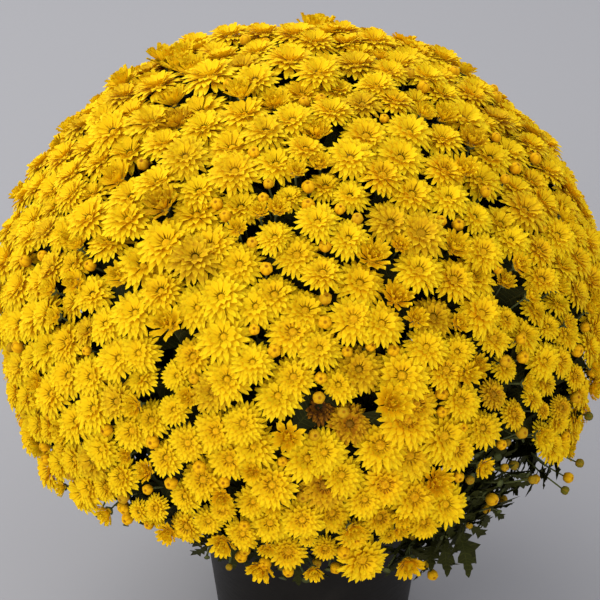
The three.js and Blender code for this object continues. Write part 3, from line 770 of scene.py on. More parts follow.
def roughness(x, y, scale, salt, waves=9):  # the mean of sine waves, each with its own direction and length
    total = 0
    for k in range(waves):
        turn = fullTurn * draw(k, salt)
        size = scale * (0.5 + draw(k, salt + 1))
        run = x * math.cos(turn) + y * math.sin(turn)
        total = total + np.sin(run * fullTurn / size + fullTurn * draw(k, salt + 2))
    return total / waves


def crowded(place):  # blooms are larger in some places and smaller in others, where more gaps show
    shape = bloomShape
    x, y = place[:, 0] + 0.6 * place[:, 1], place[:, 2] - 0.5 * place[:, 1]  # slanted, so the back differs
    size = shape["larger"] + shape["crowding"] * roughness(x, y, shape["waveSize"], shape["waveSalt"])
    for turn, height, wide, change in shape["drifts"]:
        tall = canopy["rise"] if height > canopy["middle"][2] else canopy["drop"]
        spot, _ = canopyAt(np.array((height - canopy["middle"][2]) / tall), math.radians(turn))
        size = size + change * np.exp(-(np.linalg.norm(place - spot, axis=1) / wide) ** 2)
    return size


def ripenessAndShade(place, index):
    # How wide the eye is, how brown its ring of painted shade, and how little painted light tints the petals
    # lemon: less by the distance to the side and by the height above a level, each over its own length, and
    # a little at random.
    rule = ripeAndShadeRule
    fall = np.abs(place[:, 0] - rule["middle"]) / rule["aside"]
    fall = fall + np.maximum(place[:, 2] - rule["level"], 0) / rule["above"]
    return np.clip(rule["most"] + rule["drawn"] * spread(index, 51) - fall, rule["least"], 1)


def heldBack(place, axis, arm, keepOff):
    # The share of each arm that stays inside the planes halfway to the other blooms, moved out by keepOff.
    away = seats["place"][None] - place[:, None]
    distance = np.linalg.norm(away, axis=2)
    near = np.argsort(distance, axis=1)[:, :bloomShape["neighbours"]]
    rows = np.arange(len(place))[:, None]
    away, distance = away[rows, near], distance[rows, near]
    tilt = unit(axis[:, None] + seats["axis"][near])
    away = away - tilt * along(away, tilt)
    half = np.linalg.norm(away, axis=2) / 2
    reach = np.einsum("nmc,npc->npm", unit(away), arm)
    room = (half + keepOff[:, None])[:, None]
    real = (distance > 1)[:, None] & (reach > room)
    return np.where(real, room / np.maximum(reach, 1e-6), 1.0).min(axis=2)


def petalRing(flowers, ring, salt):
    # Petals of one ring on every bloom. At t along a petal its slope is rise + bend*t, so it runs out by the
    # sum of the slope's cosine and up by the sum of its sine. Its edges are lifted by cup times half width.
    count, length, footRadius, footHeight, rise, bend, wide, cup, orange = ring
    shape = bloomShape
    place, axis, radius, index = (flowers[key] for key in ("place", "axis", "radius", "index"))
    foot = footRadius * mixed(shape["closest"], 1.0, flowers["ripeAndShaded"])
    n = len(place)
    k = np.arange(count)
    tag = index[:, None] * 61 + k + salt * 1000
    frames = framesOf(axis, fullTurn * draw(index, salt + 40))
    angle = 2 * math.pi * (k + shape["turnDraw"] * spread(tag, 41)) / count
    out = frames[:, None, 0] * np.cos(angle)[..., None] + frames[:, None, 1] * np.sin(angle)[..., None]
    side = np.cross(axis[:, None], out)
    held = heldBack(place, axis, out * radius[:, None, None], flowers["keepOff"])
    long = radius * (length + footRadius - foot)
    long = long[:, None] * (1 + shape["lengthDraw"] * spread(tag, 42)) * held
    slope = np.radians(rise + shape["riseDraw"] * spread(tag, 43))[..., None]
    curl = np.radians(bend + shape["bendDraw"] * spread(tag, 44))[..., None]
    t = np.array(shape["stations"])
    steps = np.linspace(0, 1, shape["steps"])
    run = np.cumsum(np.cos(slope + curl * steps), axis=-1) / len(steps)
    climb = np.cumsum(np.sin(slope + curl * steps), axis=-1) / len(steps)
    pick = np.round(t * (len(steps) - 1)).astype(int)
    r = (radius * foot)[:, None, None] + long[..., None] * run[..., pick]
    h = footHeight + long[..., None] * climb[..., pick]
    sway = long[..., None] * shape["sway"] * spread(tag, 45)[..., None] * t**2
    path = (place[:, None, None] + out[:, :, None] * r[..., None] + side[:, :, None] * sway[..., None]
            + axis[:, None, None] * h[..., None])
    slopeHere = (slope + curl * t)[..., None]
    face = axis[:, None, None] * np.cos(slopeHere) - out[:, :, None] * np.sin(slopeHere)
    stations, widths = np.array(shape["width"]).T
    half = radius[:, None, None] * wide * np.interp(t, stations, widths) * (0.5 + 0.5 * held[..., None])
    u = np.array([-1.0, 0.0, 1.0])
    lift = cup * u**2 * half[..., None]
    back = np.where(t == 1, shape["point"], 0.0)[:, None] * np.abs(u) * long[..., None, None]
    top = (path[..., None, :] + side[:, :, None, None] * (half[..., None] * u)[..., None]
           + face[..., None, :] * lift[..., None] - out[:, :, None, None] * back[..., None])
    owner = np.repeat(np.arange(n), count)
    return top.reshape(n * count, len(t), 3, 3), owner, np.full(n * count, orange), draw(tag, 46).ravel()


def petalsOf(flowers, rings, salt):  # all rings of petals on these blooms
    found = []
    for step, ring in enumerate(rings):
        top, owner, orange, tone = petalRing(flowers, ring, salt + step)
        ripeAndShaded = flowers["ripeAndShaded"][owner]
        # painted light: blooms to the side and high up, where ripeness is low, are tinted paler lemon as if
        # more lit
        tone = np.clip(0.3 * tone + 0.3 * draw(flowers["index"][owner], 47) + 0.5 * (1 - ripeAndShaded), 0, 1)
        shade = np.stack([tone, flowers["age"][owner], ripeAndShaded], -1)
        found.append({"top": top, "stem": flowers["stem"][owner], "orange": orange, "shade": shade})
    return found


def petalParts(found, stem):  # the petals of one stem's blooms
    parts = []
    for group in found:
        mine = group["stem"] == stem
        if mine.any():
            part = blades(group["top"][mine], bloomShape["thick"], group["orange"][mine], pointed=True)
            parts.append(finished(part, petalsAre, None, perPoint(part, group["shade"][mine])))
    return parts


eyeShape = {
    "smallest": 0.095, "largest": 0.225,  # the eye's size over the bloom's radius
    "drawn": 0.25,  # how much of its size is by chance, and not by ripeness
    "profile": [(0, -0.2), (1.75, 0.02), (1.0, 0.40), (0.72, 0.86), (0, 0.90)],
    "sectors": 9, "flute": 0.12, "flutes": 5,
}


def eyePart(stem):  # a fluted turned body in the middle of each bloom
    shape = eyeShape
    mine = chosen(blossoms, blossoms["stem"] == stem)
    body = turned(shape["profile"], shape["sectors"], shape["flute"], shape["flutes"])
    frames = framesOf(mine["axis"], fullTurn * draw(mine["index"], 48))
    full = shape["drawn"] * draw(mine["index"], 52) + (1 - shape["drawn"]) * mine["ripeAndShaded"]
    size = mine["radius"] * mixed(shape["smallest"], shape["largest"], full)
    part = standing(body, mine["place"], frames, size)
    share = part["share"]
    grain = np.stack([0 * share, share, 0 * share], -1)
    shade = np.stack([0 * size, mine["age"], mine["ripeAndShaded"]], -1)
    return finished(part, eyeIs, grain, perPoint(part, shade))


# Buds in the holes between the blooms, and leafy side shoots below them
budRule = {
    "firstIndex": 5000, "tried": 3600, "highest": 0.995, "lowest": -0.425, "turnStep": 1.7, "firstTurn": 1.1,
    "margin": 0.01, "clear": 15.2, "crowded": 0.98, "apart": 13.5, "most": 245,
    "sink": 3.0, "rise": 4.5, "lookUp": 0.35, "tilt": 0.3, "salt": 61,
    "small": 4.6, "large": 6.6, "green": 0.5,
    "cups": 0.32, "cupRadius": 1.9,  # the share that are small half-open blooms, and their radius by size
    "cupOverlap": 30.0,  # how far their petals may pass the plane halfway to a bloom
    "profile": [(0, -0.95), (0.78, -0.62), (1.0, 0.0), (0.91, 0.50), (0.58, 0.85), (0.24, 0.82), (0, 0.66)],
    "sectors": 10, "flute": 0.07,
}
shootRule = {
    "firstIndex": 9000, "tried": 1800, "highest": 0.05, "lowest": -0.52, "turnStep": 1.3, "firstTurn": 0.7,
    "margin": 0.13, "apart": 15.0, "most": 165,
    "sink": 14.0, "deep": 9.0, "lookUp": 0.2, "tilt": 0.5, "salt": 86,
    "small": 3.2, "large": 5.2, "green": 0.4, "bare": 0.62,
}
singles = {  # buds and half-open blooms that stand alone below the others
    "firstIndex": 12000, "openFrom": 6.9, "lookUp": 0.3, "tilt": 0.2, "salt": 112,
    "spots": [  # x, y, z, size, green
        (85, -240, 277, 7.6, 0.0), (112, -206, 229, 5.6, 0.3), (108, -198, 237, 4.8, 0.7),
        (-48, -264, 293, 7.0, 0.0), (-64, -270, 316, 5.4, 0.1), (-176, -226, 330, 6.2, 0.0),
        (-144, -240, 340, 7.2, 0.0), (-170, -214, 318, 5.0, 0.6), (-142, -230, 318, 4.6, 0.8),
        (-112, -244, 322, 4.0, 1.0), (253, -138, 310, 4.6, 1.0), (242, -146, 299, 5.6, 0.25),
        (239, -153, 289, 4.6, 1.0), (162, -222, 336, 6.4, 0.2), (125, -250, 358, 6.0, 0.2),
        (172, -220, 372, 4.0, 0.5), (200, -205, 345, 4.2, 0.8), (262, -110, 345, 4.6, 1.0),
    ],
}


def spacedOut(place, order, apart, most):  # the first places in this order that keep apart from one another
    taken = []
    for k in order:
        if len(taken) < most and all(np.linalg.norm(place[k] - place[m]) > apart for m in taken):
            taken.append(k)
    return np.array(taken)


def smallHeads(rule, index, place, outward, size, green, bare=False, cup=False):
    # A table with a row for each head. A bare one has leaves alone, and a cup is a small half-open bloom.
    never = np.zeros(len(index), bool)
    axis = leaning(outward, rule, index, rule["salt"])
    return {"index": index + rule["firstIndex"], "place": place, "axis": axis, "stem": stemOf(place),
            "size": size, "green": green, "bare": never | bare, "cup": never | cup}


def latticeOf(rule):  # golden-angle places from the highest to the lowest: their numbers, sines and turns
    i = np.arange(rule["tried"])
    sine = mixed(rule["highest"], rule["lowest"], (i + 0.5) / rule["tried"])
    return i, sine, i * goldenAngle * rule["turnStep"] + rule["firstTurn"]


def budSeats():
    # A bud sits at a place of its lattice where no bloom is near, measured in blooms that are as large as
    # those there, and not near another bud.
    rule = budRule
    i, sine, turn = latticeOf(rule)
    keep = sine > lowerEdge(turn) - rule["margin"]
    i, sine, turn = i[keep], sine[keep], turn[keep]
    place, outward = canopyAt(sine, turn)
    place = place + outward * (rule["rise"] + rule["sink"] * spread(i, 60))[:, None]
    off = np.linalg.norm(place[:, None] - seats["place"][None], axis=2).min(axis=1)
    off = off / np.maximum(crowded(place), rule["crowded"])
    order = [k for k in np.argsort(-off) if off[k] > rule["clear"]]
    k = spacedOut(place, order, rule["apart"], rule["most"])
    size = mixed(rule["small"], rule["large"], draw(i[k], 64))
    green = rule["green"] * draw(i[k], 67) ** 8
    return smallHeads(rule, i[k], place[k], outward[k], size, green, cup=draw(i[k], 65) < rule["cups"])


def shootSeats():
    # Shoots fill the leafy gap and a narrow strip below the blooms. Some end in a small bud, and the others
    # in leaves alone.
    rule = shootRule
    i, sine, turn = latticeOf(rule)
    edge = lowerEdge(turn)
    keep = (sine < edge) & (sine > edge - leafyGap(turn) - rule["margin"])
    i, sine, turn = i[keep], sine[keep], turn[keep]
    place, outward = canopyAt(sine, turn)
    place = place + outward * (rule["sink"] * spread(i, 84) - rule["deep"])[:, None]
    k = spacedOut(place, np.argsort(draw(i, 85)), rule["apart"], rule["most"])
    size = mixed(rule["small"], rule["large"], draw(i[k], 89))
    green = mixed(rule["green"], 1.0, draw(i[k], 90))
    return smallHeads(rule, i[k], place[k], outward[k], size, green, bare=draw(i[k], 91) < rule["bare"])


def singleSeats():  # the heads that stand alone, at their own places
    spots = np.array(singles["spots"])
    place, size, green = spots[:, :3], spots[:, 3], spots[:, 4]
    outward, index = unit(place - canopy["middle"]), np.arange(len(spots))
    return smallHeads(singles, index, place, outward, size, green, cup=size > singles["openFrom"])


seats["axis"] = unit(seats["axis"] + bloomShape["nod"] * anyWay(seats["index"], 53))
buds, shoots, alone = budSeats(), shootSeats(), singleSeats()
small = {key: np.concatenate([buds[key], shoots[key], alone[key]]) for key in buds}
seats["age"] = oldBlooms["others"] * draw(seats["index"], 50) ** 14
for spot, age, size, sunk in oldBlooms["spots"]:
    worn = np.argmin(np.linalg.norm(seats["place"] - np.array(spot), axis=1))
    seats["age"][worn] = age
    seats["radius"][worn] *= size
    seats["place"][worn] -= seats["outward"][worn] * sunk
heads = {key: np.concatenate([seats[key], small[key]]) for key in ("place", "axis", "stem", "index")}
fitted = {"bloom": 21, "bud": 9}  # the radius and the size that a green cup of size 1 fits
heads["size"] = np.concatenate([seats["radius"] / fitted["bloom"], small["size"] / fitted["bud"]])
heads["kind"] = np.repeat([0, 1, 2, 2], [len(table["index"]) for table in (seats, buds, shoots, alone)])
print("buds:", len(buds["index"]), "shoots:", len(shoots["index"]), "alone:", len(alone["index"]))

opened, closing = chosen(seats, seats["open"]), chosen(seats, ~seats["open"])
cups = chosen(small, small["cup"])
cups["radius"] = cups["size"] * budRule["cupRadius"]
cups["age"] = 0 * cups["size"]
cups["keepOff"] = budRule["cupOverlap"] + 0 * cups["size"]
for table in (opened, closing):
    size = crowded(table["place"])
    table["radius"] = table["radius"] * size
    room = bloomShape["overlap"] + bloomShape["more"] * (size - bloomShape["larger"])
    table["keepOff"] = np.clip(room, *bloomShape["overlaps"])
for table in (opened, closing, cups):
    table["ripeAndShaded"] = ripenessAndShade(table["place"], table["index"])
flowerKeys = ("place", "axis", "radius", "index", "stem", "age", "ripeAndShaded")
blossoms = {key: np.concatenate([table[key] for table in (opened, closing, cups)]) for key in flowerKeys}


def allPetals():  # the petals of the open blooms, the half-open ones and the small half-open ones
    full, half = bloomShape["rings"], bloomShape["halfOpen"]
    return petalsOf(opened, full, 0) + petalsOf(closing, half, 4) + petalsOf(cups, half, 7)


def budParts(stem):  # a fluted turned body for each closed bud, with seams of painted shade between its folded petals
    rows = np.flatnonzero((small["stem"] == stem) & ~small["cup"] & ~small["bare"])
    if not len(rows):
        return []
    profile, sectors = budRule["profile"], budRule["sectors"]
    body = turned(profile, sectors, budRule["flute"], sectors // 2)
    frames = framesOf(small["axis"][rows], fullTurn * draw(small["index"][rows], 66))
    part = standing(body, small["place"][rows], frames, small["size"][rows])
    shadedSeam = np.concatenate([np.tile(np.arange(sectors) % 2, len(profile) - 2), [0, 0]])
    share = part["share"]
    grain = np.stack([np.tile(shadedSeam, len(rows)) * (share < 0.7), share, 0 * share], -1)
    tone = draw(small["index"][rows], 68)
    shade = perPoint(part, np.stack([tone, 0 * tone, small["green"][rows]], -1))
    return [finished(part, budIs, grain, shade)]


# Green cups and pedicels under every bloom and bud
calyxShape = {"profile": [(0, -6.5), (1.2, -6.0), (5.4, -2.2), (7.4, 0.2), (0, 0.2)], "sectors": 8}
pedicelRule = {
    "foot": 1.5, "top": 1.0, "sides": 4, "rows": 5, "below": 5.5,
    "lower": 0.35, "near": 20, "over": 90, "lowest": 0.6,  # a head further aside has a lower start
    "startPull": 0.4, "endPull": 0.3,
}


def pedicelLines(stem):
    # A cubic curve from a point on the stem, along it at first, that comes up under the head on its axis.
    rule = pedicelRule
    rows = np.flatnonzero(heads["stem"] == stem)
    axis, line = heads["axis"][rows], stems[stem]
    end = heads["place"][rows] - axis * (rule["below"] * heads["size"][rows])[:, None]
    aside = np.linalg.norm(end - line[-1], axis=1)
    fall = rule["lower"] * (aside - rule["near"]) / rule["over"]
    step = np.clip(1.0 - fall, rule["lowest"], 1.0) * (len(line) - 1)
    low = np.minimum(step.astype(int), len(line) - 2)
    start = line[low] + (line[low + 1] - line[low]) * (step - low)[:, None]
    way = unit(line[low + 1] - line[low])
    reach = np.linalg.norm(end - start, axis=1)[:, None]
    first, second = start + way * reach * rule["startPull"], end - axis * reach * rule["endPull"]
    return rows, cubic(start, first, second, end, rule["rows"])


def pedicelParts(rows, path):  # a tapered tube along each curve and a turned cup at its end
    t = np.linspace(0, 1, pedicelRule["rows"])
    radius = mixed(pedicelRule["foot"], pedicelRule["top"], t) * np.ones((len(path), 1))
    stalk = finished(tubes(path, radius, pedicelRule["sides"]), stemIs)
    body = turned(calyxShape["profile"], calyxShape["sectors"])
    axis, size = heads["axis"][rows], heads["size"][rows]
    cup = standing(body, heads["place"][rows], framesOf(axis, 0 * size), size)
    return [stalk, finished(cup, stemIs)]


# Leaves
leafShape = {
    "length": 62.0, "width": 44.0, "droop": 9.0, "thick": 0.7,
    "fold": 5.0, "foldDraw": 3.0, "wave": 1.6, "puff": 1.1,
    "outline": [  # place on the rib, and on the rim along and across
        (0, 0, 0.022), (0.14, 0.14, 0.024), (0.20, 0.22, 0.11), (0.26, 0.33, 0.21),
        (0.31, 0.345, 0.12), (0.38, 0.44, 0.23), (0.45, 0.545, 0.335), (0.50, 0.555, 0.24),
        (0.53, 0.56, 0.15), (0.60, 0.66, 0.28), (0.67, 0.77, 0.36), (0.72, 0.775, 0.25),
        (0.75, 0.78, 0.15), (0.82, 0.87, 0.18), (0.88, 0.89, 0.12), (0.94, 0.945, 0.09), (1.0, 1.0, 0.012),
    ],
    "grids": {  # columns across, and which rows of the outline
        "plain": (3, [0, 2, 3, 6, 10, 16]),
        "lobed": (3, [0, 2, 3, 4, 6, 8, 10, 12, 16]),
        "side": (5, [0, 2, 3, 4, 6, 8, 10, 12, 13, 16]),
        "grown": (5, list(range(17))),
    },
    "grownSize": 0.78, "grownSlim": 0.74,
}


def leafGrid(root, ahead, left, top, size, tag, kind, slim):
    # Each row joins a place on the rib to its places on the lobed rim. The leaf arches down by the droop
    # times the square of its length, folds up along the rib, waves at its rim and puffs up halfway across.
    shape = leafShape
    across, pick = shape["grids"][kind]
    mid, rimX, rimY = np.array(shape["outline"])[pick].T
    u = np.linspace(-1, 1, across)
    x = mid[:, None] * (1 - np.abs(u)) + rimX[:, None] * np.abs(u)
    y = rimY[:, None] * u
    fold = shape["fold"] + shape["foldDraw"] * spread(tag, 70)
    wave = shape["wave"] * np.sin(x * 21 + fullTurn * draw(tag, 71)[:, None, None]) * np.abs(u) ** 2
    puff = shape["puff"] * np.abs(np.sin(x * 20)) * (1 - np.abs(np.abs(u) * 2 - 1))
    arch = shape["droop"] * (1 + 0.5 * spread(tag, 72))
    blade = rimY[:, None] > 0.03  # and not the leaf's stalk or its tip
    lift = fold[:, None, None] * np.abs(y) + (wave + puff) * blade - arch[:, None, None] * x**2
    s = np.asarray(size)[:, None, None, None]
    return (root[:, None, None] + ahead[:, None, None] * (x * shape["length"])[..., None] * s
            + left[:, None, None] * (y * shape["width"] * slim)[..., None] * s
            + top[:, None, None] * lift[..., None] * s)


def leafPart(root, ahead, left, size, tag, tone, kind, slim):
    # Leaves from their roots, with the way they point and about where their left sides are.
    ahead = unit(ahead)
    left = unit(left - ahead * along(left, ahead))
    grid = leafGrid(root, ahead, left, np.cross(ahead, left), size, tag, kind, slim)
    part = blades(grid, leafShape["thick"], 0 * size)
    shade = np.stack([tone * draw(tag, 73), 0 * size, 0 * size], -1)
    return finished(part, leafIs, None, perPoint(part, shade))


packedLeaf = {"standOff": 7.0, "passes": 16, "corners": 11}


def grownLeaves(stem):
    # The leaves of a packed stem are groups of about eleven corners that stand off the stem's own line. The
    # corners they are joined to are the leaf's root, and the corner furthest from it is the leaf's tip.
    mesh = frame["nodes"]["stem_%02d" % (stem + 1)].data
    points = np.zeros(len(mesh.vertices) * 3)
    mesh.vertices.foreach_get("co", points)
    mesh.calc_loop_triangles()
    faces = np.zeros(len(mesh.loop_triangles) * 3, np.int32)
    mesh.loop_triangles.foreach_get("vertices", faces)
    points = np.round(points.reshape(-1, 3) * 1000, 2)
    points, same = np.unique(points, axis=0, return_inverse=True)
    faces = same.ravel()[faces].reshape(-1, 3)
    edges = np.concatenate([faces[:, [0, 1]], faces[:, [1, 2]], faces[:, [2, 0]]])
    away = np.linalg.norm(points[:, None] - stems[stem][None], axis=2).min(axis=1)
    far = away > packedLeaf["standOff"]
    within = edges[far[edges].all(axis=1)]
    group = np.arange(len(points))
    for _ in range(packedLeaf["passes"]):  # the lowest number spreads through each group
        np.minimum.at(group, within[:, 0], group[within[:, 1]])
        np.minimum.at(group, within[:, 1], group[within[:, 0]])
    found = []
    for k in np.unique(group[far]):
        mine = np.flatnonzero((group == k) & far)
        if abs(len(mine) - packedLeaf["corners"]) > 1:
            continue
        joined = edges[np.isin(edges[:, 0], mine) & ~far[edges[:, 1]], 1]
        root = points[np.unique(joined)].mean(axis=0)
        arm = points[mine] - root
        tip = arm[np.argmax(np.linalg.norm(arm, axis=1))]
        chord = unit(tip)
        flat = arm - chord * (arm @ chord)[:, None]
        left = np.linalg.svd(flat)[2][0]
        left = unit(left - chord * (left @ chord))
        top = np.cross(chord, left)
        if (flat @ top).mean() < 0:
            left, top = -left, -top
        long, droop = leafShape["length"], leafShape["droop"]
        full = math.hypot(long, droop)
        ahead = (chord * long + top * droop) / full
        found.append((root, ahead, left, np.linalg.norm(tip) / full))
    return found


innerLeaves = {
    "first": 0.32, "last": 0.97, "count": 13, "rise": 0.25,
    "small": 0.68, "large": 1.04, "slim": 0.9, "tone": 0.4,
}


def stemLeaves(stem):
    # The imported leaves, and more of them at even steps along the stem, turned by the golden angle.
    found = grownLeaves(stem)
    parts = []
    if found:
        root, ahead, left, size = (np.array(column) for column in zip(*found))
        tag = np.arange(len(root)) + stem * 40
        size = size * leafShape["grownSize"]
        parts.append(leafPart(root, ahead, left, size, tag, 1.0, "grown", leafShape["grownSlim"]))
    rule, line = innerLeaves, stems[stem]
    k = np.arange(rule["count"])
    tag = k + stem * 40 + 1000
    at = np.linspace(rule["first"], rule["last"], rule["count"]) * (len(line) - 1)
    low = np.minimum(at.astype(int), len(line) - 2)
    root = line[low] + (line[low + 1] - line[low]) * (at - low)[:, None]
    way = unit(line[low + 1] - line[low])
    frames = framesOf(way, k * goldenAngle + fullTurn * draw(stem, 92))
    ahead = frames[:, 0] + way * (rule["rise"] * (1 + spread(tag, 93)))[:, None]
    size = mixed(rule["small"], rule["large"], draw(tag, 94))
    left = np.cross(way, ahead)
    parts.append(leafPart(root, ahead, left, size, tag, rule["tone"], "lobed", rule["slim"]))
    return parts, len(found)


# Leaves on the pedicels: kind of head (0 bloom, 1 bud, 2 shoot), place along the pedicel, turn, smallest and
# largest size, how far the leaf leans outwards and how far down, tone, grid, width.
pedicelLeaves = [
    (0, 3, 0.0, 0.62, 0.90, 0.25, 0.0, 0.35, "lobed", 0.9),
    (0, 4, 3.1, 0.80, 1.05, -0.90, 0.0, 0.0, "plain", 1.2),
    (0, 1, 4.8, 1.00, 1.30, 0.10, 0.0, 0.0, "plain", 1.15),
    (0, 4, 0.2, 0.70, 0.95, -0.80, 0.0, 0.0, "plain", 1.1),
    (1, 3, 1.1, 0.35, 0.55, 0.60, 0.0, 0.5, "plain", 0.8),
    (2, 3, 0.0, 0.34, 0.52, 0.35, 0.35, 1.0, "side", 0.62),
    (2, 3, 2.4, 0.42, 0.64, 0.45, 0.45, 1.0, "side", 0.62),
    (2, 3, 4.4, 0.45, 0.66, 0.25, 0.50, 0.8, "lobed", 0.66),
    (2, 2, 0.9, 0.50, 0.74, 0.15, 0.50, 0.7, "lobed", 0.70),
    (2, 2, 3.6, 0.50, 0.74, 0.25, 0.30, 0.6, "lobed", 0.70),
]


def sideLeaves(rows, path):  # the leaves on one stem's pedicels
    parts = []
    for head, step, turn, smallest, largest, out, down, tone, kind, slim in pedicelLeaves:
        mine = np.flatnonzero(heads["kind"][rows] == head)
        if not len(mine):
            continue
        tag = heads["index"][rows][mine] * 7 + step
        root = path[mine, step]
        outward = unit(root - np.array(canopy["middle"]))
        frames = framesOf(outward, turn + fullTurn * draw(tag, 80))
        lean = out * (1 + 0.6 * spread(tag, 81))[:, None]
        ahead = frames[:, 0] + outward * lean - up * down
        size = mixed(smallest, largest, draw(tag, 82))
        parts.append(leafPart(root, ahead, np.cross(outward, ahead), size, tag, tone, kind, slim))
    return parts


def stemPart(stem):  # a tapered tube along the stem's line, woody towards its foot
    share = np.linspace(0, 1, stemRule["rows"])
    radius = mixed(stemRule["foot"], stemRule["top"], share)
    woody = np.repeat(np.clip(1.2 - 2.2 * share, 0, 1), stemRule["sides"])
    woody = np.concatenate([woody, [1, 0]])  # and at its two poles
    tube = tubes(stems[stem][None], radius[None], stemRule["sides"])
    return finished(tube, stemIs, None, np.stack([woody, 0 * woody, 0 * woody], -1))


# The plant, stem by stem
petals = allPetals()
leafCount = 0
for stem in range(stemRule["count"]):
    label = "%02d" % (stem + 1)
    spray = petalParts(petals, stem) + [eyePart(stem)] + budParts(stem)
    makePiece("bloomSpray_" + label, spray, "bloom", "blooms_" + label)
    leaves, grown = stemLeaves(stem)
    leafCount += grown
    rows, path = pedicelLines(stem)
    parts = [stemPart(stem)] + pedicelParts(rows, path) + leaves + sideLeaves(rows, path)
    makePiece("leafyStem_" + label, parts, "stem", "stem_" + label)
print("sprays and leafy stems made, leaves on stems:", leafCount)

# Pot
potShape = {
    "height": 185.0, "rim": 120.0, "base": 101.0, "wall": 2.4, "floor": 3.0,
    "lipDepth": 15.0, "lipOut": 3.0, "sectors": 112,
    "drains": 4, "drainRadius": 7.0, "drainCircle": 74.0, "drainSectors": 20,
}


def wallAt(z):  # outside of the wall
    return mixed(potShape["base"], potShape["rim"], z / potShape["height"])


def closed(body, look):  # a turned body as a part of its own, with no sharp rim
    points, quads, tris = body[:3]
    return finished(copies(points[None], quads, tris, np.zeros(len(points), bool)), look)


def makePot():
    # One profile carried round the axis: outside up to the rolled lip, and inside down to the floor.
    s = potShape
    lip, top = s["height"] - s["lipDepth"], s["height"]
    profile = [
        (0, 1.2), (s["base"] - 16, 1.2), (s["base"] - 12, 0), (s["base"] - 2.2, 0), (s["base"] - 0.6, 0.7),
        (wallAt(2.4), 2.4), (wallAt(12), 12), (wallAt(60), 60), (wallAt(110), 110),
        (wallAt(lip - 5), lip - 5),
        (wallAt(lip) + 0.3, lip - 1), (wallAt(lip) + 1.6, lip - 0.3), (wallAt(lip) + 2.7, lip + 0.8),
        (wallAt(lip) + s["lipOut"], lip + 2.2), (wallAt(top) + s["lipOut"], top - 2.2),
        (wallAt(top) + s["lipOut"] - 0.7, top - 0.6), (wallAt(top) + s["lipOut"] - 2.0, top),
        (wallAt(top) - s["wall"] + 0.7, top), (wallAt(top) - s["wall"], top - 0.8),
        (wallAt(100) - s["wall"], 100), (wallAt(6) - s["wall"], 6),
        (wallAt(3) - s["wall"] - 3, s["floor"]), (0, s["floor"]),
    ]
    pot = makePiece("nurseryPot", [closed(turned(profile, s["sectors"]), potIs)], "pot", "pot")
    drill = turned([(0, -5), (s["drainRadius"], -5), (s["drainRadius"], 9), (0, 9)], s["drainSectors"])
    turn = (np.arange(s["drains"]) + 0.5) * 2 * math.pi / s["drains"]
    middle = np.stack([np.cos(turn), np.sin(turn), 0 * turn], -1) * s["drainCircle"]
    drills = standing(drill, middle, np.tile(np.eye(3), (s["drains"], 1, 1)), np.ones(s["drains"]))
    mesh = bpy.data.meshes.new("drill")
    faces = drills["quads"].tolist() + drills["tris"].tolist()
    mesh.from_pydata((drills["points"] * 0.001).tolist(), [], faces)
    cutter = bpy.data.objects.new("drill", mesh)
    scene.collection.objects.link(cutter)
    cut = pot.modifiers.new("drains", "BOOLEAN")
    cut.object, cut.operation, cut.solver = cutter, "DIFFERENCE", "EXACT"
    bpy.context.view_layer.update()
    done = bpy.data.meshes.new_from_object(pot.evaluated_get(bpy.context.evaluated_depsgraph_get()))
    pot.modifiers.clear()
    pot.data = done
    bpy.data.objects.remove(cutter)
    done.set_sharp_from_angle(angle=math.radians(35))


# Potting mix
mixShape = {
    "top": 162.0, "crown": 7.0, "gap": 0.4, "rings": 46, "sectors": 120, "lumps": 1.5,
    "chips": 260, "chipSectors": 5, "chipSmall": 1.2, "chipDraw": 2.6, "chipLift": 1.0,
    "chip": [(0, -1), (0.8, -0.7), (1, 0.1), (0.5, 0.8), (0, 0.7)],
    "stretch": [(1.0, 1.4), (0.6, 0.4), (0.35, 0.3)],  # least and more in each direction
}


def crownAt(share):  # how high the mix stands, where share is the square of the radius over the edge's
    return mixShape["top"] + mixShape["crown"] * np.clip((1 - share) * 1.6, 0, 1)


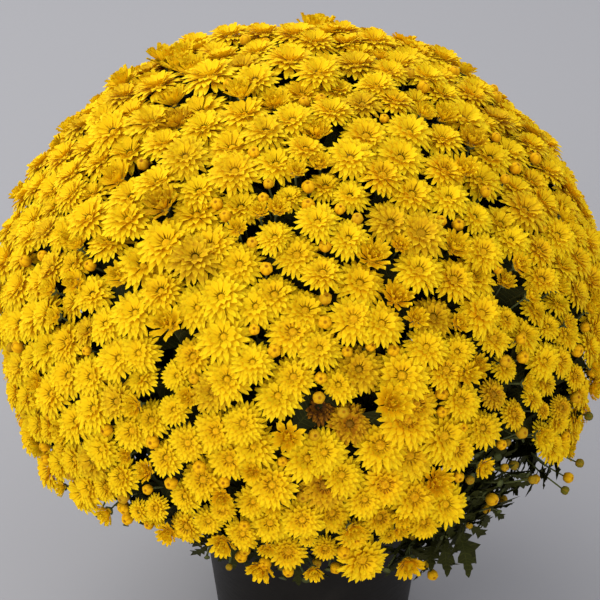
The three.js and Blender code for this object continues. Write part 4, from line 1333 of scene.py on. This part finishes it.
def barkChips(edge):
    # Chips scattered evenly over the mix: a small turned body, stretched in its own three directions.
    s = mixShape
    k = np.arange(s["chips"])
    away = edge * 0.95 * np.sqrt(draw(k, 101))
    turn = fullTurn * draw(k, 102)
    height = crownAt(away**2 / edge**2) + s["chipLift"]
    place = np.stack([away * np.cos(turn), away * np.sin(turn), height], -1)
    axis = unit(np.stack([spread(k, 103), spread(k, 104), 0.4 + draw(k, 105)], -1))
    stretch = [least + more * draw(k, 107 + way) for way, (least, more) in enumerate(s["stretch"])]
    frames = framesOf(axis, fullTurn * draw(k, 106)) * np.stack(stretch, -1)[:, :, None]
    size = s["chipSmall"] + s["chipDraw"] * draw(k, 110) ** 2
    chips = standing(turned(s["chip"], s["chipSectors"]), place, frames, size)
    shade = np.stack([draw(k, 111), 0 * k, 0 * k], -1)
    return finished(chips, mixIs, None, perPoint(chips, shade))


def makeMix():
    # Rings of points: a flat crown that falls to the wall, roughened, and closed at the side and underneath.
    s = mixShape
    inside = potShape["wall"] + s["gap"]
    edge, bottom = wallAt(s["top"]) - inside, potShape["floor"] + s["gap"]
    side = [wallAt(100) - inside, wallAt(4) - inside - 3.7, 1]
    r = np.concatenate([np.linspace(0.01, 1, s["rings"]) * edge, side])
    angle = np.linspace(0, 2 * math.pi, s["sectors"], endpoint=False)
    x, y = r[:, None] * np.cos(angle), r[:, None] * np.sin(angle)
    lumps = 1.4 * roughness(x, y, 34, 90) + roughness(x, y, 11, 94) + 0.8 * roughness(x, y, 5, 97)
    z = crownAt((x**2 + y**2) / edge**2) + s["lumps"] * lumps
    z[-3:] = np.array([100.0, bottom, bottom])[:, None]
    rings = np.stack([x, y, z], -1)[::-1]
    points = np.concatenate([rings.reshape(-1, 3), [[0, 0, bottom], [0, 0, z[0].mean()]]])
    body = closed((points, *wrapped(len(r), s["sectors"])), mixIs)
    makePiece("pottingMix", [body, barkChips(edge)], "soil", "soil")


makePot()
makeMix()
made = [piece.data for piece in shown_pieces() if "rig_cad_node" not in piece]
count = sum(len(face.vertices) - 2 for mesh in made for face in mesh.polygons)
print("pot and mix made; triangles in all:", count)
